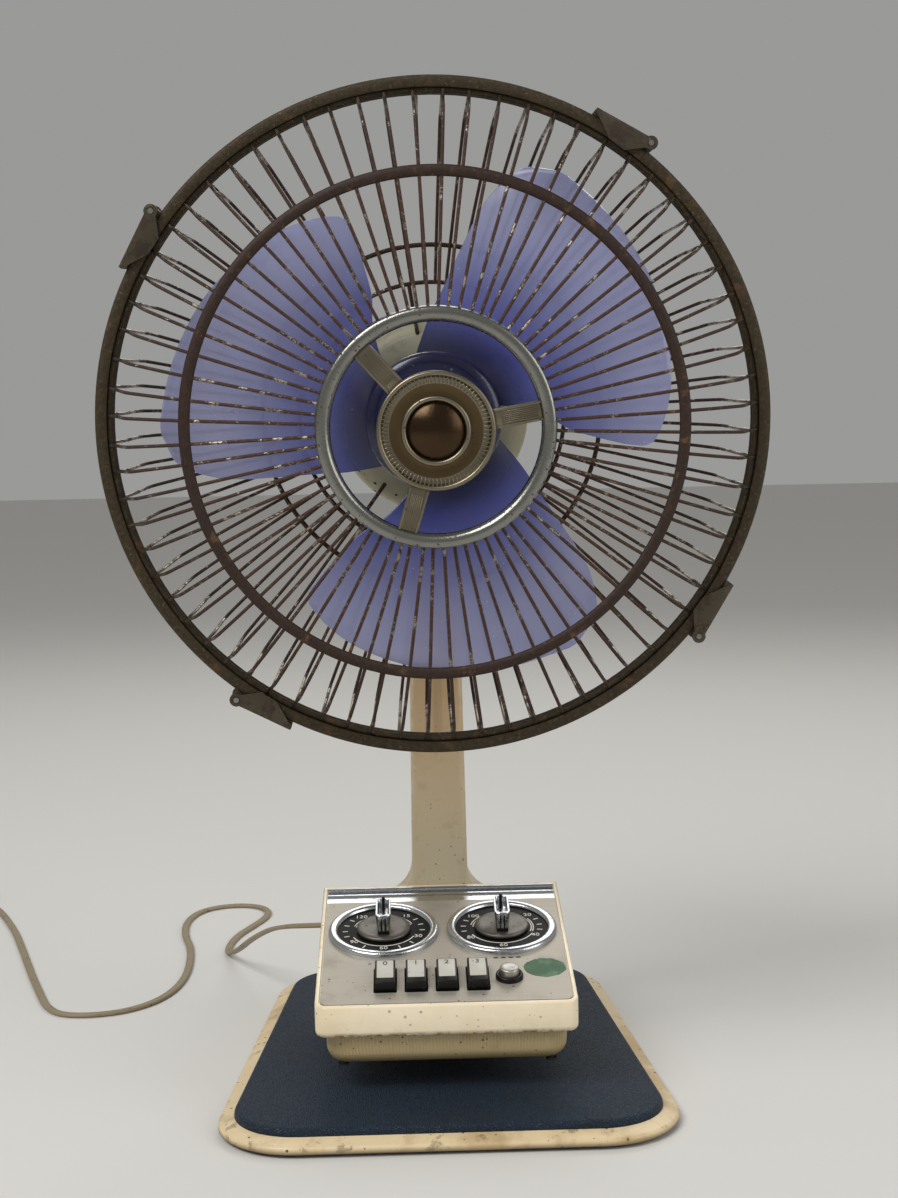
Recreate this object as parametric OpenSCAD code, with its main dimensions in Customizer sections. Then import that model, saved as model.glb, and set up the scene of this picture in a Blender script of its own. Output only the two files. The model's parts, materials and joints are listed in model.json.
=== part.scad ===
// Desk fan with a three-blade head in a wire guard, on a column behind a sloping control box.
// Millimetres. Origin: centre of the base on the surface it stands on. +X right, +Y back, +Z up.

/* [Base] */
// Width of the base at its front
base_front_w = 245; // [235:1:255]
// Width of the base at its rear
base_rear_w = 211; // [205:1:220]
// Front to back length of the base
base_len = 300; // [292:1:310]
// Radius of the base corners
base_corner_r = 44; // [36:1:50]
// Thickness of the padded mat on the base
mat_t = 4; // [3:0.5:5]

/* [Control box] */
// Width of the control box
box_w = 141; // [138:1:146]
// Front to back length of the control box, measured level
box_len = 139; // [136:1:142]
// Height of the panel's front edge
box_front_z = 63; // [61:0.5:66]
// Slope of the panel
panel_slope = 12.4; // [11:0.1:13]
// Distance between the two dials
dial_pitch = 67.8; // [66:0.2:70]
// Distance between two keys
key_pitch = 16.85; // [16:0.05:17.5]

/* [Column and head] */
// Width of the column above its foot
column_w = 33.6; // [30:0.2:36]
// Height of the tilt pivot
pivot_z = 308; // [304:1:312]
// Downward tilt of the head at rest
head_tilt = 4; // [0:0.5:8]
// Outside radius of the guard
guard_r = 178; // [176:0.5:180]
// Radius of the blade tips
blade_r = 150; // [146:1:152]
// Ribs in each half of the guard
rib_count = 72; // [60:4:72]

/* [Hidden] */
$fn = 48;

fit = 0.05;          // radial clearance of a pin or shaft in its bore
gap = 0.4;           // clearance between parts that slide past each other
wall = 2;            // thickness of the moulded covers

// base, from the table up
foot_h = 2;
rim_top = 6.2;       // top of the base's upright edge
flange_top = 8.8;    // top of its sloping flange, under the mat
flange_w = 9;
plate_top = 3.2;
skin_z = flange_top - 1.8;

// control box
box_y = -base_len / 2 + 48;           // front edge of the panel
box_rear = box_y + box_len;
lip_z = box_front_z - 17;             // lower edge of the cover
tray_z = lip_z - 17;                  // underside of the tray
panel_len = box_len / cos(panel_slope);
panel_t = 1;
dial_s = 83.7;                        // dial centre, up the slope from the front edge
dial_hole_r = 3.5;
key_s = 27.5;
key_x0 = -32.8;
key_w = 11.2;
key_l = 23;
button_x = 35;
spindle_r = 3;

// column
column_y = box_rear;                  // front face of the column
column_d = 31;
pivot_y = 52;
column_top = pivot_z - 12;
foot_half = 38;
foot_top = 83;
flare_r = 20;
tube_r = 7.5;

// head, measured from the tilt pivot
axis_h = 72;                          // motor axis above the pivot
rim_y = -125;                         // plane of the guard's rim, in front of the pivot
shaft_r = 4;
motor_r = 55;
boss_r = 20;
cap_r = 30.2;
chrome_r = 60.4;
badge_z = 49;
blade_z = -23;
crank_x = 15;
crank_z = -160;
bar = 2.2;                            // thickness of a guard wire
lip_r = guard_r - 6.2;                // inner edge of the rim band's lips

// mains lead: a flat twin lead, its route hand laid on the table
lead_w = 5.2;
lead_h = 2.7;
lead_route = [[-63, 57, 65], [-72, 60, 64], [-84, 67, 62], [-96, 81, 58], [-107, 102, 51], [-117, 127, 41],
  [-127, 154, 29], [-136, 181, 16.5], [-144, 206, 6.5], [-149, 226, 2], [-149, 248, 1.4], [-145, 270, 1.4],
  [-137, 293, 1.4], [-130, 315, 1.4], [-129, 335, 1.4], [-138, 350, 1.4], [-155, 355, 1.4], [-173, 348, 1.4],
  [-184, 331, 1.4], [-188, 304, 1.4], [-185, 272, 1.4], [-178, 240, 1.4], [-174, 205, 1.4], [-173, 170, 1.4],
  [-177, 138, 1.4], [-187, 113, 1.4], [-204, 96, 1.4], [-225, 90, 1.4], [-243, 94, 1.4], [-255, 110, 1.4],
  [-266, 140, 1.4], [-281, 186, 1.4], [-298, 241, 1.4], [-315, 294, 1.4], [-334, 343, 1.4], [-348, 372, 1.6],
  [-356, 390, 1.9], [-357.2, 398, 2]];
coil_at = [-390, 398];
coil_r = 30;
coil_half = 5.4;

function unit(v) = v / norm(v);
function heading(p, i) = unit(p[min(i + 1, len(p) - 1)] - p[max(i - 1, 0)]);
// Outline of a bent bar of even thickness that follows the points p in a plane.
function across(p, i, t) = let (h = heading(p, i), e = unit(p[max(i, 1)] - p[max(i, 1) - 1]),
  n = [-h.y, h.x]) n * t / 2 / (n * [-e.y, e.x]);
function bent_bar(p, t) = concat([for (i = [0:len(p) - 1]) p[i] + across(p, i, t)],
  [for (i = [len(p) - 1:-1:0]) p[i] - across(p, i, t)]);
function arc(c, r, a, b, n) = [for (i = [0:n]) c + r * [cos(a + (b - a) * i / n), sin(a + (b - a) * i / n)]];

// ---------- shared shapes ----------
module base_outline(inset) {
  hull() for (side = [-1, 1]) {
    translate([side * (base_front_w / 2 - base_corner_r), -base_len / 2 + base_corner_r])
      circle(base_corner_r - inset);
    translate([side * (base_rear_w / 2 - base_corner_r), base_len / 2 - base_corner_r])
      circle(base_corner_r - inset);
  }
}
module tube(r_out, r_in, h) difference() {
  cylinder(r = r_out, h = h);
  translate([0, 0, -1]) cylinder(r = r_in, h = h + 2);
}
module ring(r_in, r_out, z0, z1) rotate_extrude() translate([r_in, z0]) square([r_out - r_in, z1 - z0]);
module at_spots(spots) for (p = spots) translate([p.x, p.y, 0]) children();
// x across, y up the slope from the panel's front edge, z out of the panel
module on_panel() translate([0, box_y, box_front_z]) rotate([panel_slope, 0, 0]) children();
// x right, y back, z up, from the tilt pivot
module on_neck() translate([0, pivot_y, pivot_z]) rotate([head_tilt, 0, 0]) children();
// z forward along the motor axis from the plane of the guard's rim, y up
module on_axis() on_neck() translate([0, rim_y, axis_h]) rotate([90, 0, 0]) children();
module fillet_box(size, r) linear_extrude(size.z) hull() for (x = [r, size.x - r], y = [r, size.y - r])
  translate([x, y]) circle(r, $fn = 24);

// ---------- base ----------
screw_spots = [[-92, -112], [92, -112], [-80, 118], [80, 118]];
foot_spots = [[-76, -124], [76, -124], [-64, 128], [64, 128]];
bolt_spots = [[-12, pivot_y], [12, pivot_y]];

module base_shell() color("#d8c294") difference() {
  union() {
    difference() {
      union() {
        translate([0, 0, foot_h]) linear_extrude(rim_top - foot_h) base_outline(0);
        for (i = [1:3]) translate([0, 0, rim_top]) linear_extrude((flange_top - rim_top) * i / 3)
          base_outline(flange_w * i / 3);
      }
      linear_extrude(5) base_outline(wall);
      linear_extrude(skin_z) base_outline(flange_w + wall);
    }
    at_spots(screw_spots) translate([0, 0, plate_top]) cylinder(r = 4, h = skin_z - plate_top + 0.5);
  }
  at_spots(screw_spots) cylinder(r = 1.5 + fit, h = 6.6);
  at_spots(bolt_spots) cylinder(r = 2.5 + fit, h = 20);
}
module base_mat() color("#1f2c3c") difference() {
  translate([0, 0, flange_top]) linear_extrude(mat_t) base_outline(flange_w + 1);
  translate([-foot_half - gap, column_y - gap, 0]) cube([2 * (foot_half + gap), column_d + 2 * gap, 40]);
}
module base_plate() color("#6d6a62") difference() {
  translate([0, 0, foot_h]) linear_extrude(plate_top - foot_h) base_outline(wall + gap);
  at_spots(screw_spots) cylinder(r = 1.5 + fit, h = 10);
  at_spots(foot_spots) cylinder(r = 2.5 + fit, h = 10);
}
module base_weight() color("#4a4744") difference() {
  translate([-70, -100, plate_top]) fillet_box([140, 200, 3.4], 12);
  at_spots(bolt_spots) cylinder(r = 2.5 + fit, h = 20);
}
module rubber_feet() color("#242322") at_spots(foot_spots) {
  cylinder(r = 9, h = foot_h);
  cylinder(r = 2.5, h = plate_top);
}

// ---------- column ----------
module column_outline() polygon(concat(
  [[foot_half, flange_top], [foot_half, foot_top]],
  arc([column_w / 2 + flare_r, foot_top + flare_r], flare_r, 270, 180, 8),
  [[column_w / 2 - 1.8, column_top], [-column_w / 2 + 1.8, column_top]],
  arc([-column_w / 2 - flare_r, foot_top + flare_r], flare_r, 0, -90, 8),
  [[-foot_half, foot_top], [-foot_half, flange_top]]));
// an x, z outline stretched along y from y0
module along_y(y0, depth) translate([0, y0 + depth, 0]) rotate([90, 0, 0]) linear_extrude(depth) children();
cover_spots = [[-28, 60], [28, 60]];

module column_shell() color("#cdb98c") difference() {
  union() {
    difference() {
      along_y(column_y, column_d) column_outline();
      along_y(column_y + wall, column_d) offset(delta = -wall) column_outline();
      translate([-foot_half + wall, column_y + wall, 0]) cube([2 * (foot_half - wall), column_d, 20]);
    }
    for (p = cover_spots)
      translate([p.x, column_y + 1, p.y]) rotate([-90, 0, 0]) cylinder(r = 4, h = column_d - 4.4);
  }
  for (p = cover_spots)
    translate([p.x, column_y + 12, p.y]) rotate([-90, 0, 0]) cylinder(r = 1.5 + fit, h = 40);
  translate([0, pivot_y, column_top - 10]) cylinder(r = tube_r + fit, h = 20);
  for (x = [-20, 20]) translate([x, column_y - 1, 70]) rotate([-90, 0, 0]) cylinder(r = 2 + fit, h = 10);
  translate([-foot_half - 1, 57, 65]) rotate([0, 90, 0]) cylinder(r = 4, h = 10);
}
module column_rear_cover() color("#cdb98c") difference() {
  along_y(column_y + column_d - wall, wall) offset(delta = -wall - 0.2) column_outline();
  for (p = cover_spots)
    translate([p.x, column_y, p.y]) rotate([-90, 0, 0]) cylinder(r = 1.5 + fit, h = 60);
}
module column_tube() color("#8b8b88") difference() {
  union() {
    translate([0, pivot_y, flange_top]) cylinder(r = tube_r, h = column_top - flange_top);
    translate([-18, pivot_y - 10, flange_top]) cube([36, 20, 3]);
  }
  translate([0, pivot_y, 0]) cylinder(r = tube_r - 1.5, h = column_top + 10);
  at_spots(bolt_spots) cylinder(r = 2.5 + fit, h = 20);
}
module column_bolts() color("#77746e") at_spots(bolt_spots) {
  translate([0, 0, plate_top + 0.4]) cylinder(r = 2.5, h = 9);
  translate([0, 0, flange_top + 3]) cylinder(r = 4, h = 3, $fn = 6);
}

// ---------- control box ----------
boss_spots = [[-56, box_y + 12], [56, box_y + 12], [-56, box_rear - 14], [56, box_rear - 14]];

module box_side(drop, inset) polygon([[box_y + inset, lip_z - 1 + drop], [box_y + inset, box_front_z - drop],
  [box_rear - inset, box_front_z - drop + (box_len - inset) * tan(panel_slope)],
  [box_rear - inset, lip_z - 1 + drop]]);
module box_block(half_w) translate([-half_w, 0, 0]) rotate([90, 0, 90]) linear_extrude(2 * half_w) children();
module panel_holes(extra) {
  for (x = [-1, 1]) translate([x * dial_pitch / 2, dial_s, -20]) cylinder(r = dial_hole_r, h = 40);
  for (i = [0:3]) translate([key_x0 + i * key_pitch - key_w / 2 - 0.7 - extra, 13.6 - extra, -20])
    cube([key_w + 1.4 + 2 * extra, 27 + 2 * extra, 40]);
  translate([button_x, key_s, -20]) cylinder(r = 6 + extra, h = 40);
}
module control_cover() color("#e6d4b0") difference() {
  union() {
    difference() {
      intersection() {
        box_block(box_w / 2) box_side(0, 0);
        translate([-box_w / 2, box_y, lip_z]) cube([box_w, box_len, 80]);
      }
      box_block(box_w / 2 - wall) polygon([[box_y + wall, 0], [box_y + wall, box_front_z - 2.6],
        [box_rear - wall, box_front_z - 2.8 + (box_len - wall) * tan(panel_slope)], [box_rear - wall, 0]]);
    }
    intersection() {
      box_block(box_w / 2 - 1) box_side(0.8, 1);
      at_spots(boss_spots) translate([0, 0, tray_z + wall]) cylinder(r = 4, h = 70);
    }
  }
  on_panel() translate([-box_w / 2 + 2.6, 2.4, -panel_t]) cube([box_w - 5.2, panel_len - 4.4, 10]);
  on_panel() panel_holes(0.3);
  at_spots(boss_spots) cylinder(r = 1.5 + fit, h = lip_z);
  for (x = [-20, 20]) translate([x, box_rear - 5, 70]) rotate([-90, 0, 0]) cylinder(r = 2 + fit, h = 10);
}
module control_tray() color("#a8966c") difference() {
  translate([-65.5, box_y + 5, tray_z]) fillet_box([131, box_len - 9, lip_z - tray_z + 4], 9);
  translate([-63.5, box_y + 7, tray_z + wall]) fillet_box([127, box_len - 13, 40], 7);
  at_spots(boss_spots) cylinder(r = 1.5 + fit, h = lip_z);
}
module screw(h) {
  translate([0, 0, -1.2]) cylinder(r = 3, h = 1.2);
  translate([0, 0, -1.2]) cylinder(r = 1.5, h = 1.2 + h);
}
module case_screws() color("#8e8a80") {
  at_spots(screw_spots) translate([0, 0, foot_h]) screw(4.2);
  at_spots(boss_spots) translate([0, 0, tray_z]) screw(14);
  for (p = cover_spots) translate([p.x, column_y + column_d, p.y]) rotate([90, 0, 0]) screw(14);
}
module box_bolts() color("#77746e")
  for (x = [-20, 20]) translate([x, column_y + wall, 70]) rotate([90, 0, 0]) {
  translate([0, 0, -3]) cylinder(r = 4, h = 3, $fn = 6);
  cylinder(r = 2, h = 9);
  translate([0, 0, 2 * wall]) tube(4, 2 + fit, 3);
}
module control_panel() color("#a9a39a") difference() {
  on_panel() translate([-box_w / 2 + 2.8, 2.6, -panel_t]) cube([box_w - 5.6, panel_len - 24.2, panel_t]);
  on_panel() panel_holes(0);
}
module panel_trim() color("#c9c9c6") on_panel()
  translate([-box_w / 2 + 2.8, panel_len - 21.5, -panel_t]) cube([box_w - 5.6, 19.3, panel_t + 0.9]);
module at_dials() on_panel() for (x = [-1, 1]) translate([x * dial_pitch / 2, dial_s, 0]) children();
module dial_bezels() color("#d2d2d0") at_dials() ring(27.6, 31.7, 0, 3);
module dial_plates() color("#23221f") at_dials() tube(27.5, dial_hole_r, 0.9);
module dial_knob(x) color("#b9b7b2") on_panel() translate([x, dial_s, 0]) {
  translate([0, 0, 1.3]) cylinder(r = 15.6, h = 2.6);
  translate([-4.6, -11, 3]) fillet_box([9.2, 22, 14], 3);
  translate([0, 0, -18]) cylinder(r = spindle_r, h = 20);
}
module timer_knob() dial_knob(-dial_pitch / 2);
module rhythm_knob() dial_knob(dial_pitch / 2);
module mechanism(x, size) on_panel() translate([x, dial_s, 0]) difference() {
  translate([-size / 2, -size / 2, -27]) cube([size, size, 23]);
  translate([0, 0, -19]) cylinder(r = spindle_r + fit, h = 30);
}
module timer_clockwork() color("#b08d4a") mechanism(-dial_pitch / 2, 46);
module rhythm_switch() color("#6b5138") mechanism(dial_pitch / 2, 38);
module panel_key(i) color("#1c1b1a") on_panel() translate([key_x0 + i * key_pitch, key_s, 0]) {
  translate([-key_w / 2, -key_l / 2, -3]) fillet_box([key_w, key_l, 9.4], 1);
  translate([-3, -4, -17]) cube([6, 8, 15]);
}
module key_0() panel_key(0);
module key_1() panel_key(1);
module key_2() panel_key(2);
module key_3() panel_key(3);
module push_button() color("#c4c2bd") on_panel() translate([button_x, key_s, 0]) {
  translate([0, 0, -2]) cylinder(r = 5.4, h = 8.5);
  translate([0, 0, -17]) cylinder(r = 3, h = 16);
}
module button_collar() color("#1c1b1a") on_panel() translate([button_x, key_s, 0]) ring(5.8, 7.6, 0, 2.6);
module key_springs() color("#9a9a96") on_panel() {
  for (i = [0:3]) translate([key_x0 + i * key_pitch, key_s, -13.9]) tube(6.2, 5.3, 6);
  translate([button_x, key_s, -13.9]) tube(4.2, 3.3, 6);
}
module key_switch() color("#3a3833") on_panel() difference() {
  translate([key_x0 - 9, key_s - 13, -26]) cube([4 * key_pitch + 18, 26, 12]);
  for (i = [0:3]) translate([key_x0 + i * key_pitch - 3.4, key_s - 4.4, -23]) cube([6.8, 8.8, 20]);
  translate([button_x, key_s, -23]) cylinder(r = 3.4, h = 20);
}

// ---------- mains lead ----------
module cord_gland() color("#2a2927") translate([-foot_half + 3.5, 57, 65]) rotate([0, -90, 0]) difference() {
  union() {
    cylinder(r = 6.5, h = 1.5);
    cylinder(r = 4 - fit, h = 5);
    translate([0, 0, 3.5]) cylinder(r1 = 6.2, r2 = 3.9, h = 25);
  }
  translate([0, 0, -1]) cylinder(r = 3, h = 40);
}
function lead_ring(i) =
  let (h = heading(lead_route, i), side = unit(cross(h, [0, 0, 1])), top = cross(side, h))
  [for (k = [0:7]) lead_route[i] + side * lead_w / 2 * cos(45 * k) + top * lead_h / 2 * sin(45 * k)];
module cord_tube() color("#a59a86") {
  n = len(lead_route);
  polyhedron(points = [for (i = [0:n - 1]) each lead_ring(i)],
    faces = concat([[for (k = [0:7]) k]], [[for (k = [7:-1:0]) 8 * (n - 1) + k]],
      [for (i = [0:n - 2], k = [0:7])
        [8 * i + k, 8 * i + 8 + k, 8 * i + 8 + (k + 1) % 8, 8 * i + (k + 1) % 8]]));
}
module cord_coil() color("#a59a86") translate([coil_at.x, coil_at.y, 0])
  ring(coil_r - coil_half, coil_r + coil_half, 0.6, 6);
module cord_tie() color("#3b3a38") translate([coil_at.x, coil_at.y, 0]) rotate([0, 0, 215])
  translate([coil_r - coil_half - 0.6, -3, 0]) difference() {
    cube([2 * coil_half + 1.2, 6, 6.7]);
    translate([0.5, -1, 0.5]) cube([2 * coil_half + 0.2, 8, 5.6]);
  }
plug_y = coil_at.y + coil_r + 2.6;
plug_x = coil_at.x - 14;
module plug_body() color("#8d8472") translate([plug_x - 27, plug_y - 11, 0]) difference() {
  fillet_box([27, 22, 14], 4);
  for (y = [-6.35, 6.35]) translate([-1, 11 + y - 0.8, 3.8]) cube([9, 1.6, 6.4]);
}
module plug_pins() color("#b7a468") for (y = [-6.35, 6.35])
  translate([plug_x - 27 - 17, plug_y + y - 0.75, 3.85]) cube([24, 1.5, 6.3]);

// ---------- tilt joint ----------
module across_x(x0, w) translate([x0, 0, 0]) rotate([90, 0, 90]) linear_extrude(w) children();
module at_pivot() translate([0, pivot_y, pivot_z]) children();

module tilt_fork() color("#8a8a86") at_pivot() difference() {
  union() {
    for (x = [-12, 9]) across_x(x, 3) {
      circle(8);
      translate([-8, -12]) square([16, 12]);
    }
    translate([-12, -12, -12]) cube([24, 24, 3.4]);
    translate([0, 0, -30]) cylinder(r = tube_r - 1.5 - fit, h = 20);
  }
  across_x(-20, 40) circle(3 + fit);
  translate([0, 0, -31]) cylinder(r = 4, h = 30);
}
module tilt_bolt() color("#a5a39d") at_pivot() {
  across_x(-15.5, 3.4) circle(5.5, $fn = 6);
  across_x(-15.5, 39) circle(3);
}
module tilt_knob() color("#2c2a28") at_pivot() difference() {
  union() {
    across_x(12.3, 4) circle(6);
    across_x(16, 10) for (a = [0:60:300]) rotate(a) translate([3.4, -2.2]) square([5.6, 4.4]);
    across_x(16, 10) circle(7.4);
  }
  across_x(0, 40) circle(3 + fit);
}
module neck_bracket() color("#8a8a86") on_neck() difference() {
  union() {
    across_x(-8.7, 17.4) {
      circle(7.6);
      translate([-7, 0]) square([14, 9]);
    }
    translate([0, 0, 8.6]) cylinder(r = 13, h = 5.4);
    translate([-5, 0, 8.6]) cube([10, 23, 2.4]);
  }
  across_x(-20, 40) circle(3 + fit);
  translate([0, 0, 8]) cylinder(r = 4 + fit, h = 20);
  translate([0, 18, 8]) cylinder(r = 1.5 + fit, h = 20);
}
module swivel_pin() color("#a5a39d") on_neck() {
  translate([0, 0, 8.05]) cylinder(r = 4, h = 6.2);
  translate([0, 0, 14.1]) cylinder(r = 5, h = 18);
}
module crank_link() color("#8a8a86") on_neck() {
  translate([0, 18, 8.7]) cylinder(r = 1.5, h = 3);
  translate([0, 18, 11.2]) rotate([0, 0, 44]) translate([-3.5, -3.5, 0]) fillet_box([29, 7, 1.8], 3.4);
}

// ---------- motor ----------
module turned() rotate_extrude() children();

module motor_front_shell() color("#c9c6b0") on_axis() difference() {
  union() {
    turned() polygon(concat([[boss_r - 2, -66], [boss_r - 2, -64]], arc([motor_r - 9, -73], 9, 90, 0, 6),
      [[motor_r, -99], [motor_r - 2, -99]], arc([motor_r - 9, -73], 7, 0, 90, 6)));
    translate([0, 0, -66]) cylinder(r = boss_r, h = 11);
    translate([0, 0, -76]) cylinder(r = 12, h = 12);
  }
  translate([0, 0, -80]) cylinder(r = 9, h = 15);
  translate([0, 0, -80]) cylinder(r = 6, h = 40);
}
module motor_rear_shell() color("#c9c6b0") on_axis() difference() {
  union() {
    difference() {
      union() {
        turned() polygon(concat([[0, -150], [motor_r - 14, -150]], arc([motor_r - 14, -136], 14, -90, 0, 8),
          [[motor_r, -99], [0, -99]]));
        translate([0, 0, rim_y]) rotate([90, 0, 0]) translate([0, 0, axis_h - 30]) cylinder(r = 11, h = 15.6);
      }
      turned() polygon(concat([[0, -148], [motor_r - 14, -148]], arc([motor_r - 14, -136], 12, -90, 0, 8),
        [[motor_r - 2, -98], [0, -98]]));
    }
    translate([0, 0, -149]) cylinder(r = 12, h = 11);
    intersection() {
      cylinder(r = motor_r - 1, h = 400, center = true);
      translate([0, 0, rim_y]) rotate([90, 0, 0]) translate([0, 0, axis_h - 34]) cylinder(r = 11, h = 20);
    }
  }
  translate([0, 0, -147]) cylinder(r = 9, h = 20);
  translate([0, 0, -160]) cylinder(r = 6, h = 30);
  translate([0, 0, rim_y]) rotate([90, 0, 0]) translate([0, 0, axis_h - 32.4]) cylinder(r = 5 + fit, h = 40);
}
module motor_stator() color("#7a5a3c") on_axis() translate([0, 0, -131]) tube(36.5, 20.6, 30);
module motor_rotor() color("#9c9c98") on_axis() {
  translate([0, 0, -165]) cylinder(r = shaft_r, h = 157);
  translate([0, 0, -130]) cylinder(r = 20, h = 28);
  translate([0, 0, -165]) cylinder(r = 5, h = 11);
}
module shaft_bearings() color("#b3b2ad") on_axis() {
  translate([0, 0, -75.5]) tube(9 - fit, shaft_r + fit, 8);
  translate([0, 0, -146.5]) tube(9 - fit, shaft_r + fit, 8);
}
module gearbox_case() color("#bdb9a4") on_axis() difference() {
  translate([-13, -20, -173]) cube([46, 40, 23]);
  translate([-11, -18, -171]) cube([42, 36, 30]);
  translate([crank_x, 0, crank_z]) rotate([90, 0, 0]) cylinder(r = 3 + fit, h = 30);
  translate([crank_x, 0, crank_z]) rotate([-90, 0, 0]) cylinder(r = 2.5 + fit, h = 30);
}
module crank_wheel() color("#b3a06a") on_neck() translate([crank_x, rim_y - crank_z, 0]) {
  translate([0, 0, 15]) cylinder(r = 9, h = 3);
  translate([0, 0, 15]) cylinder(r = 3, h = 60);
  translate([0, 0, axis_h - 3]) cylinder(r = 9.4, h = 6);
  translate([6, 0, 13.6]) cylinder(r = 1.5, h = 2);
}
module oscillation_knob() color("#d8d4c4") on_neck() translate([crank_x, rim_y - crank_z, axis_h]) {
  translate([0, 0, 9]) cylinder(r = 2.5, h = 20);
  translate([0, 0, 23]) cylinder(r = 7.5, h = 10);
  translate([0, 0, 8]) cylinder(r = 4, h = 2);
}

// ---------- guard and blade ----------
front_rib = [[58, 45.2], [132, 37], [159, 27.5], [165.5, 10], [171, 2.9]];
rear_rib = [[44, -61], [95, -60], [160, -43], [165.5, -13], [171, -2.9]];
// guard clips: hinged levers on the rim, placed by angle; x outwards, y anticlockwise along the rim
clip_angles = [54, 145, 236, 323];
clip_pin = [guard_r + 3.8, -9];

module ribs(profile) for (i = [0:rib_count - 1]) rotate([0, 0, (i + 0.5) * 360 / rib_count])
  rotate([90, 0, 0]) translate([0, 0, -bar / 2]) linear_extrude(bar) polygon(bent_bar(profile, bar));
module rear_guard() color("#5d3f2c") on_axis() {
  ribs(rear_rib);
  ring(boss_r + 0.2, 46, -63.9, -61.4);
  ring(93.5, 96.5, -63.6, -60.2);
  ring(74, 76.6, -63.4, -60.2);
  ring(169.4, 173.4, -4.6, -0.3);
}
module guard_nut() color("#8a8a86") on_axis() translate([0, 0, -61.4]) tube(28, boss_r + fit, 5);
module rim_band() color("#4c4230") on_axis() {
  turned() polygon([[lip_r, -7], [guard_r, -7], [guard_r, 7], [lip_r, 7], [lip_r, 5.6], [guard_r - 1.6, 5.6],
    [guard_r - 1.6, -5.6], [lip_r, -5.6]]);
  for (a = clip_angles) rotate([0, 0, a]) difference() {
    translate([guard_r - 1, clip_pin.y - 2.5, -6]) cube([7, 5, 12]);
    translate([clip_pin.x, clip_pin.y, -20]) cylinder(r = 1.45, h = 40);
  }
}
module clip_pins() color("#8a8a86") on_axis() for (a = clip_angles) rotate([0, 0, a])
  translate([clip_pin.x, clip_pin.y, -9.6]) cylinder(r = 1.45, h = 19.2);
module guard_clip(a) color("#3c352c") on_axis() rotate([0, 0, a]) difference() {
  union() {
    for (z = [-9.2, 7.5]) translate([0, 0, z]) linear_extrude(1.7) {
      translate(clip_pin) circle(3.6);
      polygon([
        [guard_r + 6, -8], [guard_r + 2.2, 24], [guard_r + 0.6, 24], [171, 10], [171, 0], [guard_r, -8]]);
    }
    translate([guard_r + 0.6, -1, -9.2]) cube([1.6, 25, 18.4]);
  }
  translate([clip_pin.x, clip_pin.y, -20]) cylinder(r = 1.45 + fit, h = 40);
}
module guard_clip_1() guard_clip(clip_angles[0]);
module guard_clip_2() guard_clip(clip_angles[1]);
module guard_clip_3() guard_clip(clip_angles[2]);
module guard_clip_4() guard_clip(clip_angles[3]);
module front_guard() color("#5d3f2c") on_axis() {
  ribs(front_rib);
  ring(56.4, 59, 43.4, 46.4);
  ring(124.9, 130.5, 34.2, 36.7);
  ring(169.4, 173.4, 0.3, 4.6);
}
module hub_badge() color("#a39a86") on_axis() {
  turned() polygon([
    [53.2, 46.6], [chrome_r, 46.6], [chrome_r, 50], [chrome_r - 2, 52.4], [55.4, 52.4], [53.2, 50]]);
  turned() polygon([[0, badge_z - 2], [cap_r, badge_z - 2], [cap_r, badge_z + 3], [cap_r - 3, badge_z + 5],
    [19, badge_z + 3], [16, badge_z + 6], [12, badge_z + 6], [10, badge_z + 4], [0, badge_z + 4]]);
  for (a = [10, 132, 253]) rotate([0, 0, a]) translate([cap_r - 4, -5.2, badge_z - 1]) cube([32, 10.4, 1.6]);
}
// one blade, seen from the front: angle from its straight edge and radius
blade_edge = [[14, 30], [8, 45], [1, 61], [-5, 74], [-7.8, 96], [-8.4, 108], [-7.5, 118], [-3, 123],
  [6.7, 129], [19.6, 134], [30, 138.5], [41.8, 143], [52, 147], [59, 150], [64, 150], [69, 146.5],
  [72, 140], [74.8, 129.5], [77.7, 112.5], [81.2, 92], [85.3, 74], [90.5, 61], [99, 45], [112, 30]];
module fan_blade() color("#5a5fa0") on_axis() {
  difference() {
    union() {
      translate([0, 0, -48]) cylinder(r = 37, h = 34);
      translate([0, 0, -14.5]) cylinder(r = 10, h = 12);
      for (b = [0:2]) rotate([0, 0, 120 * b + 38]) translate([0, 0, blade_z]) rotate([-14, 0, 0])
        rotate([0, 0, -38]) linear_extrude(2, center = true)
          polygon([for (p = blade_edge) p[1] * blade_r / 150 * [cos(p[0]), sin(p[0])]]);
    }
    translate([0, 0, -50]) tube(34, 10, 33);
    translate([0, 0, -60]) cylinder(r = shaft_r + 0.01, h = 56);
  }
}

base_shell();
base_mat();
base_plate();
base_weight();
rubber_feet();
case_screws();
column_shell();
column_rear_cover();
column_tube();
column_bolts();
control_cover();
control_tray();
control_panel();
panel_trim();
dial_bezels();
dial_plates();
box_bolts();
timer_knob();
rhythm_knob();
timer_clockwork();
rhythm_switch();
key_0();
key_1();
key_2();
key_3();
push_button();
button_collar();
key_springs();
key_switch();
cord_gland();
cord_tube();
cord_coil();
cord_tie();
plug_body();
plug_pins();
tilt_fork();
tilt_bolt();
tilt_knob();
neck_bracket();
swivel_pin();
crank_link();
motor_front_shell();
motor_rear_shell();
motor_stator();
motor_rotor();
shaft_bearings();
gearbox_case();
crank_wheel();
oscillation_knob();
rear_guard();
guard_nut();
rim_band();
front_guard();
hub_badge();
clip_pins();
guard_clip_1();
guard_clip_2();
guard_clip_3();
guard_clip_4();
fan_blade();
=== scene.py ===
"""The looks of a desk fan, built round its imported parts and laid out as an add-on."""

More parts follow.
